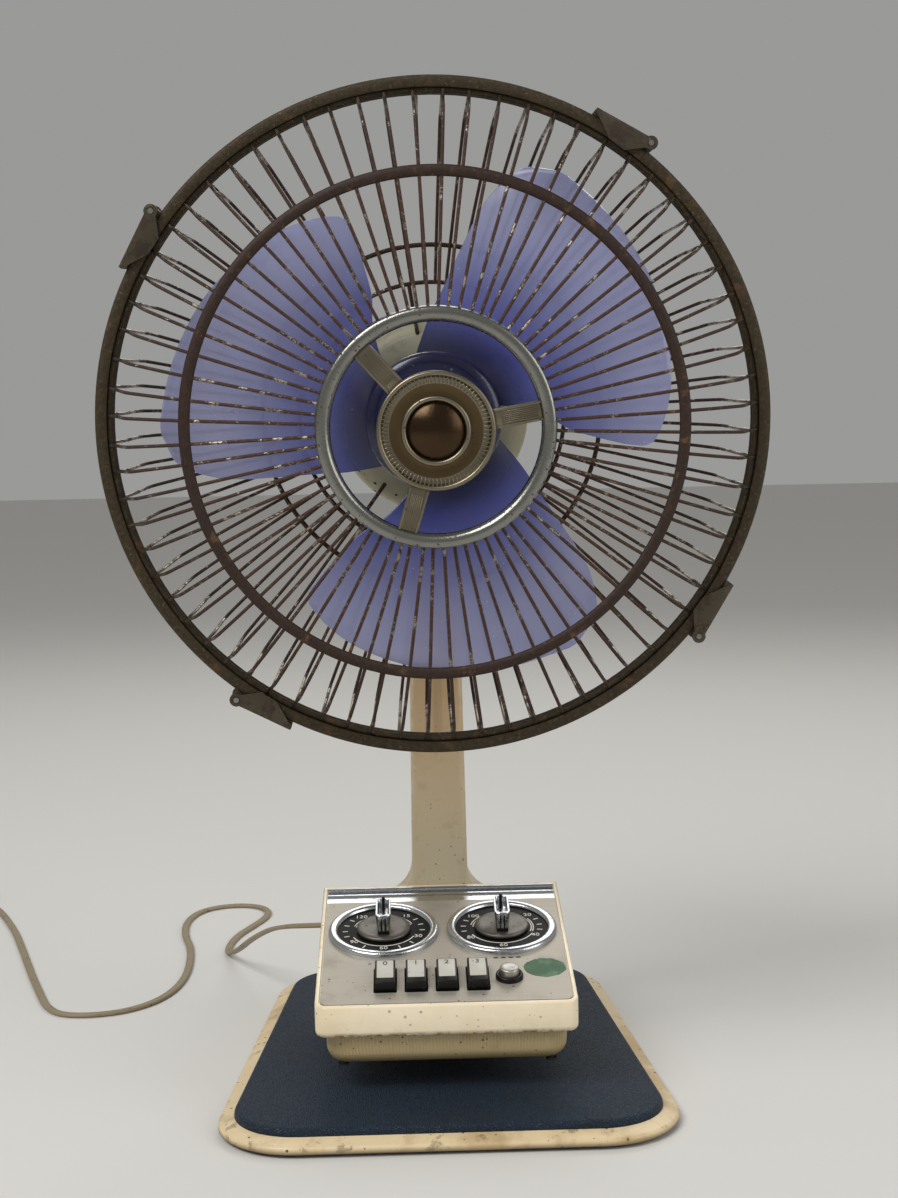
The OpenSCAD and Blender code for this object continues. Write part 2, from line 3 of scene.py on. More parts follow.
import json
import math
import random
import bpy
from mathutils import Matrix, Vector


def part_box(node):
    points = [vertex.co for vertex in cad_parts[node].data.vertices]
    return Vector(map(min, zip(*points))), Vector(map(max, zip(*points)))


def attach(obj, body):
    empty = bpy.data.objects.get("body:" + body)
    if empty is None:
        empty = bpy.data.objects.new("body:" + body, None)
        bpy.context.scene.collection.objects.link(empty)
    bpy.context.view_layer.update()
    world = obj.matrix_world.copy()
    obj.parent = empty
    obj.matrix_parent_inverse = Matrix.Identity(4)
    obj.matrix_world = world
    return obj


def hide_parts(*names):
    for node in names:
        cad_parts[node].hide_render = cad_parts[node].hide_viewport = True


bl_info = {
    "name": "Desk fan",
    "version": (1, 0, 0),
    "blender": (4, 5, 0),
    "location": "3D Viewport > Sidebar > Desk fan",
    "description": "Builds the looks of an aged desk fan round its packed parts",
    "category": "Object",
}

from contextlib import contextmanager

import bmesh
import bpy
from bpy.props import FloatProperty, FloatVectorProperty, PointerProperty
from mathutils import Matrix, Vector

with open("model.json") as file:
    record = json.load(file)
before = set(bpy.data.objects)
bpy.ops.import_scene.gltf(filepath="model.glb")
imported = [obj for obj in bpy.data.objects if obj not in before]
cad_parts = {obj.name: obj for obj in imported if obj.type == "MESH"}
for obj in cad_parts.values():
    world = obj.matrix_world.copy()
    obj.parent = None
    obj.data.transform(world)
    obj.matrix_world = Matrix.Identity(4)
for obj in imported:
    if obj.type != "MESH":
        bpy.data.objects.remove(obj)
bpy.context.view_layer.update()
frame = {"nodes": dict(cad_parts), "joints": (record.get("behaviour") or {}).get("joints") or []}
NODES = frame["nodes"]
JOINTS = {joint["name"]: joint for joint in frame["joints"]}

# The dials stand this far up the panel from its front edge, and the keys this far.
DIAL_RISE = 0.0837
KEY_RISE = 0.0275
# The motor's axis: angles of the four clips and of the three badge arms, in degrees.
CLIP_ANGLES = (54, 145, 236, 323)
ARM_ANGLES = (10, 132, 253)
# Guard wires, as (radius, distance in front of the rim's plane).
FRONT_RIB = [(0.058, 0.0454), (0.095, 0.0415), (0.132, 0.0368), (0.152, 0.0305), (0.159, 0.0268),
             (0.1628, 0.0195), (0.1652, 0.0125), (0.1677, 0.0085), (0.1706, 0.0052)]
REAR_RIB = [(0.0735, -0.0605), (0.095, -0.0602), (0.13, -0.0525), (0.156, -0.0446), (0.1612, -0.0385),
            (0.1636, -0.026), (0.1655, -0.0135), (0.168, -0.008), (0.1706, -0.0045)]
# The mains lead lies along these points as far as its coil, whose centre comes after them.
LEAD_ROUTE = [
    (-0.063, 0.057, 0.065), (-0.072, 0.060, 0.064), (-0.084, 0.067, 0.062), (-0.096, 0.081, 0.058),
    (-0.107, 0.102, 0.051), (-0.117, 0.127, 0.041), (-0.127, 0.154, 0.029), (-0.136, 0.181, 0.0165),
    (-0.144, 0.206, 0.0065), (-0.149, 0.226, 0.002), (-0.149, 0.248, 0.0014), (-0.145, 0.270, 0.0014),
    (-0.137, 0.293, 0.0014), (-0.130, 0.315, 0.0014), (-0.129, 0.335, 0.0014), (-0.138, 0.350, 0.0014),
    (-0.155, 0.355, 0.0014), (-0.173, 0.348, 0.0014), (-0.184, 0.331, 0.0014), (-0.188, 0.304, 0.0014),
    (-0.185, 0.272, 0.0014), (-0.178, 0.240, 0.0014), (-0.174, 0.205, 0.0014), (-0.173, 0.170, 0.0014),
    (-0.177, 0.138, 0.0014), (-0.187, 0.113, 0.0014), (-0.204, 0.096, 0.0014), (-0.225, 0.090, 0.0014),
    (-0.243, 0.094, 0.0014), (-0.255, 0.110, 0.0014), (-0.266, 0.140, 0.0014), (-0.281, 0.186, 0.0014),
    (-0.298, 0.241, 0.0014), (-0.315, 0.294, 0.0014), (-0.334, 0.343, 0.0014), (-0.348, 0.372, 0.0016),
    (-0.356, 0.390, 0.0019)]
COIL_CENTRE = (-0.390, 0.398)
COIL_TURNS = [(0.0326, 0.002), (0.0274, 0.002), (0.0274, 0.0047), (0.0326, 0.0047)]


def linear(code):
    """A scene-linear colour from a six-digit code."""
    parts = [int(code[i:i + 2], 16) / 255 for i in (0, 2, 4)]
    return [c / 12.92 if c <= 0.04045 else ((c + 0.055) / 1.055) ** 2.4 for c in parts] + [1.0]


def colour(name, description, code):
    return FloatVectorProperty(name=name, description=description, subtype="COLOR", size=4,
                               min=0, max=1, default=linear(code))


def length(name, description, default):
    return FloatProperty(name=name, description=description, default=default, min=0,
                         unit="LENGTH", precision=4)


# ---------- settings ----------
class FanSizes(bpy.types.PropertyGroup):
    wire: length("Guard wire", "Thickness of a guard wire", 0.0018)
    wander: length("Wander", "How far a guard wire strays from its even place", 0.0006)
    blade: length("Blade", "Thickness of a blade", 0.0018)
    camber: length("Camber", "How far a blade bulges from a flat sheet", 0.0055)
    mat_roll: length("Mat edge", "Radius of the mat's rolled edge", 0.0026)
    lead_width: length("Lead width", "Width of the flat mains lead", 0.0052)
    lead_height: length("Lead height", "Thickness of the flat mains lead", 0.0027)
    lead_length: length("Lead length", "Length of the mains lead", 1.8)


class FanColours(bpy.types.PropertyGroup):
    rim: colour("Base rim", "Yellowed cream of the base", "e3cda4")
    mat: colour("Mat", "Navy vinyl of the mat", "22384e")
    column: colour("Column", "Cream paint of the column", "c8bb9d")
    column_top: colour("Column top", "Browner paint near the head", "c6a478")
    box: colour("Box", "Cream of the control box", "f6e8ca")
    tray: colour("Tray", "Tan of the tray under the box", "b7a47b")
    panel: colour("Panel", "Brushed metal of the panel", "bbb4a7")
    dirt: colour("Dirt", "Brown dirt in corners and specks", "3b2a19")
    chrome: colour("Chrome", "Bright plating", "c4c6c8")
    nickel: colour("Nickel", "Aged golden plating", "857d6b")
    rust: colour("Rust", "Orange brown rust", "4d2f1b")
    dark_rust: colour("Dark rust", "Black brown rust", "1e1410")
    # The lavender grey of the blade colour is a painted reflection of the bright surroundings. It is laid on
    # the blades towards their tips, over the blue of the plastic.
    blade: colour("Blade", "Milky blue plastic of the blades", "b9bce2")
    blade_deep: colour("Blade root", "Clearer blue towards the hub", "3540ab")
    hub: colour("Hub", "Deep blue near the hub", "0d0f34")
    motor: colour("Motor", "Cream grey paint of the motor", "b9b596")
    lead: colour("Lead", "Beige vinyl of the lead", "8f8267")
    floor: colour("Floor", "Pale studio floor", "d9d7d2")


class FanStage(bpy.types.PropertyGroup):
    lens: FloatProperty(name="Lens", description="Focal length in millimetres", default=54.1)
    place: FloatVectorProperty(name="Camera", description="Where the camera stands", size=3,
                               subtype="TRANSLATION", default=(-0.0171, -1.0358, 0.361))
    heading: FloatProperty(name="Heading", description="Turn of the camera to the right", unit="ROTATION",
                           default=math.radians(1.38))
    dip: FloatProperty(name="Dip", description="How far the camera looks down", unit="ROTATION",
                       default=math.radians(5.0))
    roll: FloatProperty(name="Roll", description="Clockwise roll of the camera", unit="ROTATION",
                        default=math.radians(1.13))
    key: FloatProperty(name="Key light", description="Power of the key light in watts", default=34)
    fill: FloatProperty(name="Fill light", description="Power of the fill light in watts", default=10)
    sky: FloatProperty(name="Surround", description="Strength of the pale surround", default=0.42)


# ---------- frames of the head and the panel ----------
def frame_of(x, y, z, origin):
    matrix = Matrix((x, y, z)).transposed().to_4x4()
    matrix.translation = origin
    return matrix


def head_frame():
    """X right, Y up and Z forward along the motor axis, from the plane of the guard's rim."""
    spin = JOINTS["blade_spin"]
    return frame_of(Vector((1, 0, 0)), Vector(JOINTS["head_swing"]["axis"]), Vector(spin["axis"]),
                    Vector(spin["pos_m"]))


def panel_frame():
    """X across, Y up the slope and Z out of the panel, from the middle of its front edge."""
    left, right = JOINTS["timer_turn"], JOINTS["rhythm_turn"]
    out = Vector(left["axis"])
    up = out.cross(Vector((1, 0, 0)))
    middle = (Vector(left["pos_m"]) + Vector(right["pos_m"])) / 2
    return frame_of(Vector((1, 0, 0)), up, out, middle - up * DIAL_RISE)


HEAD = head_frame()
PANEL = panel_frame()
DIAL_X = JOINTS["rhythm_turn"]["pos_m"][0]


def about(angle):
    """A turn about the motor axis, in degrees, in the head's frame."""
    return Matrix.Rotation(math.radians(angle), 4, "Z")


def move(x, y, z):
    return Matrix.Translation((x, y, z))


# ---------- shapes ----------
def only(items, kind):
    return [item for item in items if isinstance(item, kind)]


@contextmanager
def placed(bm, matrix):
    """What is made inside this block is put in place by the matrix."""
    before = set(bm.verts)
    yield
    bmesh.ops.transform(bm, matrix=matrix, verts=[v for v in bm.verts if v not in before])


@contextmanager
def painted(bm, index):
    """What is made inside this block takes the finish of that number."""
    before = set(bm.faces)
    yield
    for face in bm.faces:
        if face not in before:
            face.material_index = index


def arc(centre, radius, start, end, steps):
    """Points of a round stretch, from one angle to another in degrees."""
    angles = [math.radians(start + (end - start) * i / steps) for i in range(steps + 1)]
    return [(centre[0] + radius * math.cos(a), centre[1] + radius * math.sin(a)) for a in angles]


def rounded(corners, radius, steps=8):
    """An outline, anticlockwise, with each of its corners rounded to a radius."""
    outline = []
    for i, corner in enumerate(corners):
        here = Vector(corner)
        back = (Vector(corners[i - 1]) - here).normalized()
        ahead = (Vector(corners[(i + 1) % len(corners)]) - here).normalized()
        half = back.angle(ahead) / 2
        centre = here + (back + ahead).normalized() * radius / math.sin(half)
        start = (here + back * radius / math.tan(half)) - centre
        turn = math.pi - 2 * half
        outline += [tuple(centre + Matrix.Rotation(turn * k / steps, 2) @ start) for k in range(steps + 1)]
    return outline


def flowing(points, steps=4):
    """A smooth line through the points, with so many steps in each stretch."""
    points = [Vector(p) for p in points]
    line = []
    for i in range(len(points) - 1):
        a, b, c, d = points[max(i - 1, 0)], points[i], points[i + 1], points[min(i + 2, len(points) - 1)]
        for k in range(steps):
            t = k / steps
            line.append(0.5 * (2 * b + (c - a) * t + (2 * a - 5 * b + 4 * c - d) * t * t
                               + (3 * b - a - 3 * c + d) * t ** 3))
    return line + [points[-1]]


def sheet(bm, outline, height=0.0):
    return bm.faces.new([bm.verts.new((x, y, height)) for x, y in outline])


def raised(bm, face, rise):
    """Pulls a face out along Z into a solid and returns its top face."""
    made = bmesh.ops.extrude_face_region(bm, geom=[face])["geom"]
    bmesh.ops.translate(bm, verts=only(made, bmesh.types.BMVert), vec=(0, 0, rise))
    return only(made, bmesh.types.BMFace)[0]


def stepped(bm, face, steps):
    """Insets a face again and again, each time by an inset and a rise, and returns the last top."""
    for inset, rise in steps:
        bmesh.ops.inset_region(bm, faces=[face], thickness=inset, depth=rise, use_even_offset=True,
                               use_boundary=True)
    return face


def crown(radius, steps=4):
    """The insets and rises of a rounded upper edge."""
    angles = [math.pi / 2 * i / steps for i in range(steps + 1)]
    return [(radius * (math.cos(a) - math.cos(b)), radius * (math.sin(b) - math.sin(a)))
            for a, b in zip(angles, angles[1:])]


def soften(bm, edges, width, segments=3):
    bmesh.ops.bevel(bm, geom=edges, offset=width, offset_type="OFFSET", segments=segments, profile=0.5,
                    affect="EDGES", material=-1, clamp_overlap=True)


def block(bm, low, high, edge=0.0, segments=2):
    """A box between two corners, with its edges rounded."""
    low, high = Vector(low), Vector(high)
    spot = Matrix.Translation((low + high) / 2) @ Matrix.Diagonal(high - low).to_4x4()
    made = bmesh.ops.create_cube(bm, size=1, matrix=spot)["verts"]
    if edge:
        soften(bm, list({e for v in made for e in v.link_edges}), edge, segments)


def turned(bm, outline, steps=96, closed=True, angle=360):
    """Revolves an outline of (radius, height) points about Z."""
    verts = [bm.verts.new((r, 0, z)) for r, z in outline]
    pairs = list(zip(verts, verts[1:])) + ([(verts[-1], verts[0])] if closed else [])
    edges = [bm.edges.new(pair) for pair in pairs]
    ends = [bm.faces.new(verts)] if angle < 360 and closed else []
    bmesh.ops.spin(bm, geom=verts + edges + ends, cent=(0, 0, 0), axis=(0, 0, 1), steps=steps,
                   angle=math.radians(angle), use_merge=angle == 360)


def rod(bm, radius, low, high, edge, steps):
    """A round bar along Z with rounded ends."""
    lower = [(0, low)] + arc((radius - edge, low + edge), edge, -90, 0, 3)
    upper = arc((radius - edge, high - edge), edge, 0, 90, 3) + [(0, high)]
    turned(bm, lower + upper, steps, closed=False)


def hoop(bm, radius, height, thickness, steps=144, sides=10):
    """A round wire ring about Z."""
    turned(bm, arc((radius, height), thickness / 2, 0, 360 - 360 / sides, sides - 1), steps)


def spots_along(path, up):
    """A frame at each point of a path: Z runs along it and Y stays near the given direction."""
    spots = []
    for i, point in enumerate(path):
        along = (path[min(i + 1, len(path) - 1)] - path[max(i - 1, 0)]).normalized()
        side = up.cross(along).normalized()
        spots.append(frame_of(side, along.cross(side), along, point))
    return spots


def swept(bm, outline, spots):
    """Sweeps an outline through the frames of a path and closes both ends."""
    end = sheet(bm, outline)
    bmesh.ops.transform(bm, matrix=spots[0], verts=end.verts)
    edges = list(end.edges)
    for here, there in zip(spots, spots[1:]):
        made = bmesh.ops.extrude_edge_only(bm, edges=edges)["geom"]
        verts = only(made, bmesh.types.BMVert)
        fresh = set(verts)
        edges = [e for e in only(made, bmesh.types.BMEdge) if e.verts[0] in fresh and e.verts[1] in fresh]
        bmesh.ops.transform(bm, matrix=there @ here.inverted(), verts=verts)
    bmesh.ops.holes_fill(bm, edges=edges)


def wire(bm, path, thickness, sides=8):
    """A round wire along a path that lies in the X, Z plane."""
    swept(bm, arc((0, 0), thickness / 2, 0, 360 - 360 / sides, sides - 1),
          spots_along(path, Vector((0, 1, 0))))


def pierced(bm, outline, holes, depth):
    """A plate with holes through it, from Z 0 down to a depth."""
    for loop in [outline] + holes:
        verts = [bm.verts.new((x, y, 0)) for x, y in loop]
        for pair in zip(verts, verts[1:] + verts[:1]):
            bm.edges.new(pair)
    faces = only(bmesh.ops.triangle_fill(bm, use_beauty=True, edges=bm.edges)["geom"], bmesh.types.BMFace)
    made = bmesh.ops.extrude_face_region(bm, geom=faces)["geom"]
    bmesh.ops.translate(bm, verts=only(made, bmesh.types.BMVert), vec=(0, 0, -depth))


def figure(bm, text, size, depth, spot):
    """Raised figures, centred on a spot."""
    curve = bpy.data.curves.new("figure", "FONT")
    curve.body = text
    curve.size = size
    curve.extrude = depth / 2
    curve.resolution_u = 3
    curve.align_x, curve.align_y = "CENTER", "CENTER"
    carrier = bpy.data.objects.new("figure", curve)
    mesh = bpy.data.meshes.new_from_object(carrier)
    with placed(bm, spot @ move(0, 0, depth / 2)):
        bm.from_mesh(mesh)
    bpy.data.objects.remove(carrier)
    bpy.data.curves.remove(curve)
    bpy.data.meshes.remove(mesh)


def cad_copy(node, width, segments=2):
    """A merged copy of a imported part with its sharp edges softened."""
    bm = bmesh.new()
    bm.from_mesh(NODES[node].data)
    bmesh.ops.remove_doubles(bm, verts=bm.verts, dist=0.00002)
    bmesh.ops.dissolve_limit(bm, angle_limit=math.radians(2), verts=bm.verts, edges=bm.edges)
    sharp = math.radians(30)
    edges = [e for e in bm.edges if len(e.link_faces) == 2 and e.calc_face_angle(0) > sharp]
    soften(bm, edges, width, segments)
    return bm


def piece(bm, name, finishes, body, replaced=(), spot=None, smooth=40):
    """Makes an object from a bmesh, in place, with its finishes and its body."""
    if spot:
        bmesh.ops.transform(bm, matrix=spot, verts=bm.verts)
    bmesh.ops.recalc_face_normals(bm, faces=bm.faces)
    mesh = bpy.data.meshes.new(name)
    bm.to_mesh(mesh)
    bm.free()
    for label in [finishes] if isinstance(finishes, str) else finishes:
        mesh.materials.append(finish(label))
    mesh.shade_smooth()
    mesh.set_sharp_from_angle(angle=math.radians(smooth))
    made = bpy.data.objects.new(name, mesh)
    bpy.context.scene.collection.objects.link(made)
    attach(made, body)
    if replaced:
        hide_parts(*replaced)
    return made


# ---------- shader effects ----------
def feed(tree, socket, value):
    if isinstance(value, bpy.types.NodeSocket):
        tree.links.new(value, socket)
    else:
        socket.default_value = value


def calc(tree, operation, *operands):
    node = tree.nodes.new("ShaderNodeMath")
    node.operation = operation
    for socket, value in zip(node.inputs, operands):
        feed(tree, socket, value)
    return node.outputs[0]


def vector_calc(tree, operation, *operands):
    node = tree.nodes.new("ShaderNodeVectorMath")
    node.operation = operation
    for socket, value in zip(node.inputs, operands):
        feed(tree, socket, value)
    return node.outputs[0]


def threshold(tree, value, low, high):
    """0 below low and 1 above high, smooth between them."""
    node = tree.nodes.new("ShaderNodeMapRange")
    node.interpolation_type = "SMOOTHSTEP"
    for label, amount in (("Value", value), ("From Min", low), ("From Max", high)):
        feed(tree, node.inputs[label], amount)
    return node.outputs["Result"]


def noise(tree, vector, scale, detail=5.0, roughness=0.6):
    node = tree.nodes.new("ShaderNodeTexNoise")
    for label, value in (("Vector", vector), ("Scale", scale), ("Detail", detail), ("Roughness", roughness)):
        feed(tree, node.inputs[label], value)
    return node.outputs["Fac"]


def cells(tree, vector, scale, feature="F1"):
    node = tree.nodes.new("ShaderNodeTexVoronoi")
    node.feature = feature
    for label, value in (("Vector", vector), ("Scale", scale)):
        feed(tree, node.inputs[label], value)
    return node


def effect_shell(name, inputs, outputs):
    tree = bpy.data.node_groups.new(name, "ShaderNodeTree")
    tree.interface.new_socket(name="Vector", in_out="INPUT", socket_type="NodeSocketVector")
    for label, value in inputs.items():
        kind = "NodeSocketVector" if isinstance(value, tuple) else "NodeSocketFloat"
        tree.interface.new_socket(name=label, in_out="INPUT", socket_type=kind).default_value = value
    for label in outputs:
        tree.interface.new_socket(name=label, in_out="OUTPUT", socket_type="NodeSocketFloat")
    return tree, tree.nodes.new("NodeGroupInput").outputs, tree.nodes.new("NodeGroupOutput").inputs


def make_patches():
    """Soft-edged patches, as of stain or fading."""
    tree, given, out = effect_shell("patches", {"Scale": 20.0, "Low": 0.45, "High": 0.7}, ["Mask"])
    field = noise(tree, given["Vector"], given["Scale"], 6.0, 0.62)
    feed(tree, out["Mask"], threshold(tree, field, given["Low"], given["High"]))
    return tree


def make_specks():
    """Small scattered spots of many sizes."""
    tree, given, out = effect_shell("specks", {"Scale": 200.0, "Size": 0.3}, ["Mask"])
    warp = noise(tree, given["Vector"], calc(tree, "MULTIPLY", given["Scale"], 2.0), 2.0)
    found = cells(tree, given["Vector"], given["Scale"])
    parts = tree.nodes.new("ShaderNodeSeparateColor")
    feed(tree, parts.inputs[0], found.outputs["Color"])
    reach = calc(tree, "MULTIPLY", calc(tree, "POWER", parts.outputs[0], 4.0), given["Size"])
    ragged = calc(tree, "ADD", found.outputs["Distance"], calc(tree, "MULTIPLY", warp, 0.12))
    inside = threshold(tree, calc(tree, "SUBTRACT", ragged, reach), 0.0, 0.08)
    feed(tree, out["Mask"], calc(tree, "SUBTRACT", 1.0, inside))
    return tree


def make_streaks():
    """Lines drawn out along one direction, as of brushing or wiping."""
    tree, given, out = effect_shell("streaks", {"Stretch": (1.0, 1.0, 1.0), "Low": 0.3, "High": 0.7},
                                    ["Mask", "Height"])
    field = noise(tree, vector_calc(tree, "MULTIPLY", given["Vector"], given["Stretch"]), 1.0, 4.0, 0.55)
    feed(tree, out["Mask"], threshold(tree, field, given["Low"], given["High"]))
    feed(tree, out["Height"], field)
    return tree


def make_leather():
    """The pebbled grain of leather cloth."""
    tree, given, out = effect_shell("leather", {"Scale": 700.0}, ["Height", "Mask"])
    bend = noise(tree, given["Vector"], calc(tree, "MULTIPLY", given["Scale"], 0.35), 2.0)
    pebbles = cells(tree, given["Vector"], given["Scale"], "DISTANCE_TO_EDGE").outputs["Distance"]
    grain = threshold(tree, pebbles, 0.0, 0.28)
    feed(tree, out["Height"], calc(tree, "ADD", grain, calc(tree, "MULTIPLY", bend, 0.7)))
    feed(tree, out["Mask"], grain)
    return tree


def make_edge_wear():
    """Ragged wear where the surface turns a corner."""
    tree, given, out = effect_shell("edge_wear", {"Scale": 120.0, "Low": 0.52, "High": 0.6}, ["Mask"])
    bend = tree.nodes.new("ShaderNodeNewGeometry").outputs["Pointiness"]
    ragged = calc(tree, "MULTIPLY", noise(tree, given["Vector"], given["Scale"]), 0.12)
    edge = calc(tree, "ADD", bend, calc(tree, "SUBTRACT", ragged, 0.06))
    feed(tree, out["Mask"], threshold(tree, edge, given["Low"], given["High"]))
    return tree


def make_rust():
    """Rust through plating: where it is, how dark it is, and how it lifts."""
    tree, given, out = effect_shell("rust", {"Scale": 60.0, "Amount": 0.6}, ["Mask", "Dark", "Height"])
    broad = noise(tree, given["Vector"], given["Scale"], 7.0, 0.68)
    fine = noise(tree, given["Vector"], calc(tree, "MULTIPLY", given["Scale"], 9.0), 5.0, 0.7)
    mixed = calc(tree, "ADD", calc(tree, "MULTIPLY", broad, 0.65), calc(tree, "MULTIPLY", fine, 0.35))
    low = calc(tree, "SUBTRACT", 0.62, calc(tree, "MULTIPLY", given["Amount"], 0.25))
    feed(tree, out["Mask"], threshold(tree, mixed, low, calc(tree, "ADD", low, 0.05)))
    feed(tree, out["Dark"], threshold(tree, fine, 0.36, 0.66))
    feed(tree, out["Height"], mixed)
    return tree


EFFECTS = {"patches": make_patches, "specks": make_specks, "streaks": make_streaks,
           "leather": make_leather, "edge_wear": make_edge_wear, "rust": make_rust}


class Finish:
    """A material being made: a Principled shader, and layers laid over it by masks."""

    def __init__(self, name, base, roughness, metallic=0.0, **constants):
        self.material = bpy.data.materials.new(f"{name}_finish")
        self.material.use_nodes = True
        self.tree = self.material.node_tree
        self.shader = self.tree.nodes["Principled BSDF"]
        self.place = self.tree.nodes.new("ShaderNodeTexCoord").outputs["Object"]
        self.values = {"Base Color": tuple(base), "Roughness": roughness, "Metallic": metallic}
        self.normal = None
        for label, value in constants.items():
            self.shader.inputs[label.replace("_", " ")].default_value = value

    def centred(self, matrix):
        """Coordinates in the frame of a matrix instead of the object's own."""
        inverse = matrix.inverted()
        node = self.tree.nodes.new("ShaderNodeMapping")
        feed(self.tree, node.inputs["Vector"], self.place)
        node.inputs["Location"].default_value = inverse.translation
        node.inputs["Rotation"].default_value = inverse.to_euler()
        self.place = node.outputs["Vector"]

    def axis(self, index):
        node = self.tree.nodes.new("ShaderNodeSeparateXYZ")
        feed(self.tree, node.inputs[0], self.place)
        return node.outputs[index]

    def radius(self):
        """Distance from the Z axis of the coordinates."""
        x, y = self.axis(0), self.axis(1)
        return calc(self.tree, "SQRT", calc(self.tree, "ADD", calc(self.tree, "MULTIPLY", x, x),
                                            calc(self.tree, "MULTIPLY", y, y)))

    def between(self, value, low, high):
        return threshold(self.tree, value, low, high)

    def below(self, value, low, high):
        return self.less(1.0, self.between(value, low, high))

    def less(self, a, b):
        return calc(self.tree, "SUBTRACT", a, b)

    def times(self, a, b):
        return calc(self.tree, "MULTIPLY", a, b)

    def effect(self, name, *inputs, output="Mask"):
        node = self.tree.nodes.new("ShaderNodeGroup")
        node.node_tree = bpy.data.node_groups.get(name) or EFFECTS[name]()
        for socket, value in zip(node.inputs, (self.place, *inputs)):
            feed(self.tree, socket, value)
        return node.outputs[output]

    def lay(self, name, inputs, share, *look):
        """Lays another finish over what is there, through the mask of an effect."""
        self.cover(self.effect(name, *inputs), share, *look)

    def cover(self, mask, share, colour, roughness=None, metallic=None):
        """Lays another finish over what is there, as far as the mask and the share allow."""
        amount = mask if share == 1.0 else self.times(mask, share)
        if isinstance(colour, str):
            colour = linear(colour)
        for label, value in (("Base Color", colour), ("Roughness", roughness), ("Metallic", metallic)):
            if value is None:
                continue
            mix = self.tree.nodes.new("ShaderNodeMix")
            mix.data_type = "RGBA" if label == "Base Color" else "FLOAT"
            first, second, result = (6, 7, 2) if label == "Base Color" else (2, 3, 0)
            feed(self.tree, mix.inputs[0], amount)
            feed(self.tree, mix.inputs[first], self.values[label])
            feed(self.tree, mix.inputs[second], tuple(value) if label == "Base Color" else value)
            self.values[label] = mix.outputs[result]

    def bump(self, height, strength, distance):
        node = self.tree.nodes.new("ShaderNodeBump")
        feed(self.tree, node.inputs["Height"], height)
        node.inputs["Strength"].default_value = strength
        node.inputs["Distance"].default_value = distance
        if self.normal:
            feed(self.tree, node.inputs["Normal"], self.normal)
        self.normal = node.outputs["Normal"]

    def done(self):
        for label, value in self.values.items():
            feed(self.tree, self.shader.inputs[label], value)
        if self.normal:
            feed(self.tree, self.shader.inputs["Normal"], self.normal)
        return self.material


# ---------- finishes ----------
def colours():
    return bpy.context.scene.fan_colours


def dirty_plastic(name, base, roughness, dirt_share=0.5, speck_scale=260.0, **constants):
    """Aged moulded plastic: yellowing, dirt patches and specks, and scuffs."""
    given = colours()
    made = Finish(name, base, roughness, **constants)
    made.lay("patches", (16.0, 0.42, 0.72), 0.35, [c * k for c, k in zip(base, (0.78, 0.66, 0.46, 1))],
             roughness + 0.1)
    made.lay("patches", (70.0, 0.56, 0.72), dirt_share * 0.5, given.dirt, 0.6)
    made.lay("specks", (speck_scale, 0.32), dirt_share + 0.3, given.dirt, 0.7)
    made.bump(made.effect("patches", 420.0, 0.2, 0.8), 0.15, 0.0003)
    return made


def make_rim_cream():
    given = colours()
    made = dirty_plastic("rim_cream", given.rim, 0.38, 0.6, 300.0)
    made.cover(made.below(made.axis(2), 0.0022, 0.0052), 0.75, given.dirt, 0.7)
    made.lay("patches", (13.0, 0.5, 0.62), 0.4, "a07c42")
    made.lay("patches", (95.0, 0.6, 0.66), 0.5, "5f4524")
    made.lay("streaks", ((60.0, 60.0, 9.0), 0.5, 0.72), 0.35, "8a6f3f")
    return made.done()


def make_mat_vinyl():
    given = colours()
    made = Finish("mat_vinyl", given.mat, 0.46, Specular_IOR_Level=0.4)
    made.lay("patches", (26.0, 0.4, 0.75), 0.5, "1d2b3b", 0.36)
    made.lay("specks", (330.0, 0.22), 0.55, "76746c", 0.8)
    made.lay("streaks", ((40.0, 240.0, 40.0), 0.64, 0.78), 0.2, "3a3d40", 0.6)
    grain = made.effect("leather", 760.0)
    made.cover(made.less(1.0, grain), 0.7, "05090f", 0.7)
    made.bump(made.effect("leather", 760.0, output="Height"), 0.9, 0.0008)
    made.bump(made.effect("patches", 45.0, 0.2, 0.8), 0.3, 0.0012)
    return made.done()


def make_column_paint():
    given = colours()
    made = dirty_plastic("column_paint", given.column, 0.42, 0.4, 420.0)
    made.cover(made.between(made.axis(2), 0.08, 0.24), 0.85, given.column_top)
    made.lay("streaks", ((90.0, 90.0, 7.0), 0.52, 0.74), 0.3, "7b6238")
    made.lay("edge_wear", (120.0, 0.535, 0.6), 0.5, "dcd6c0")
    return made.done()


def make_box_plastic():
    given = colours()
    made = dirty_plastic("box_plastic", given.box, 0.24, 0.2, 360.0, Specular_IOR_Level=0.4)
    foot = made.below(made.axis(2), 0.046, 0.0495)
    made.cover(made.times(foot, made.effect("patches", 240.0, 0.44, 0.58)), 0.9, "8a6a3c", 0.6)
    made.lay("edge_wear", (260.0, 0.56, 0.6), 0.7, "b99d6c")
    return made.done()


def make_tray_plastic():
    given = colours()
    made = dirty_plastic("tray_plastic", given.tray, 0.5, 0.5, 420.0)
    made.cover(made.below(made.axis(2), 0.029, 0.036), 0.5, "5f4f30", 0.7)
    return made.done()


def make_panel_metal():
    given = colours()
    made = Finish("panel_metal", given.panel, 0.5, 0.55, Specular_IOR_Level=0.3)
    made.centred(PANEL)
    brushed = made.effect("streaks", (24.0, 2600.0, 2600.0), output="Height")
    made.lay("streaks", ((20.0, 1900.0, 1900.0), 0.35, 0.65), 0.25, "9a9387", 0.58)
    made.lay("patches", (34.0, 0.5, 0.74), 0.35, "85795f", 0.6)
    made.lay("specks", (300.0, 0.26), 0.8, given.dirt, 0.8, 0.1)
    made.bump(brushed, 0.2, 0.00008)
    return made.done()


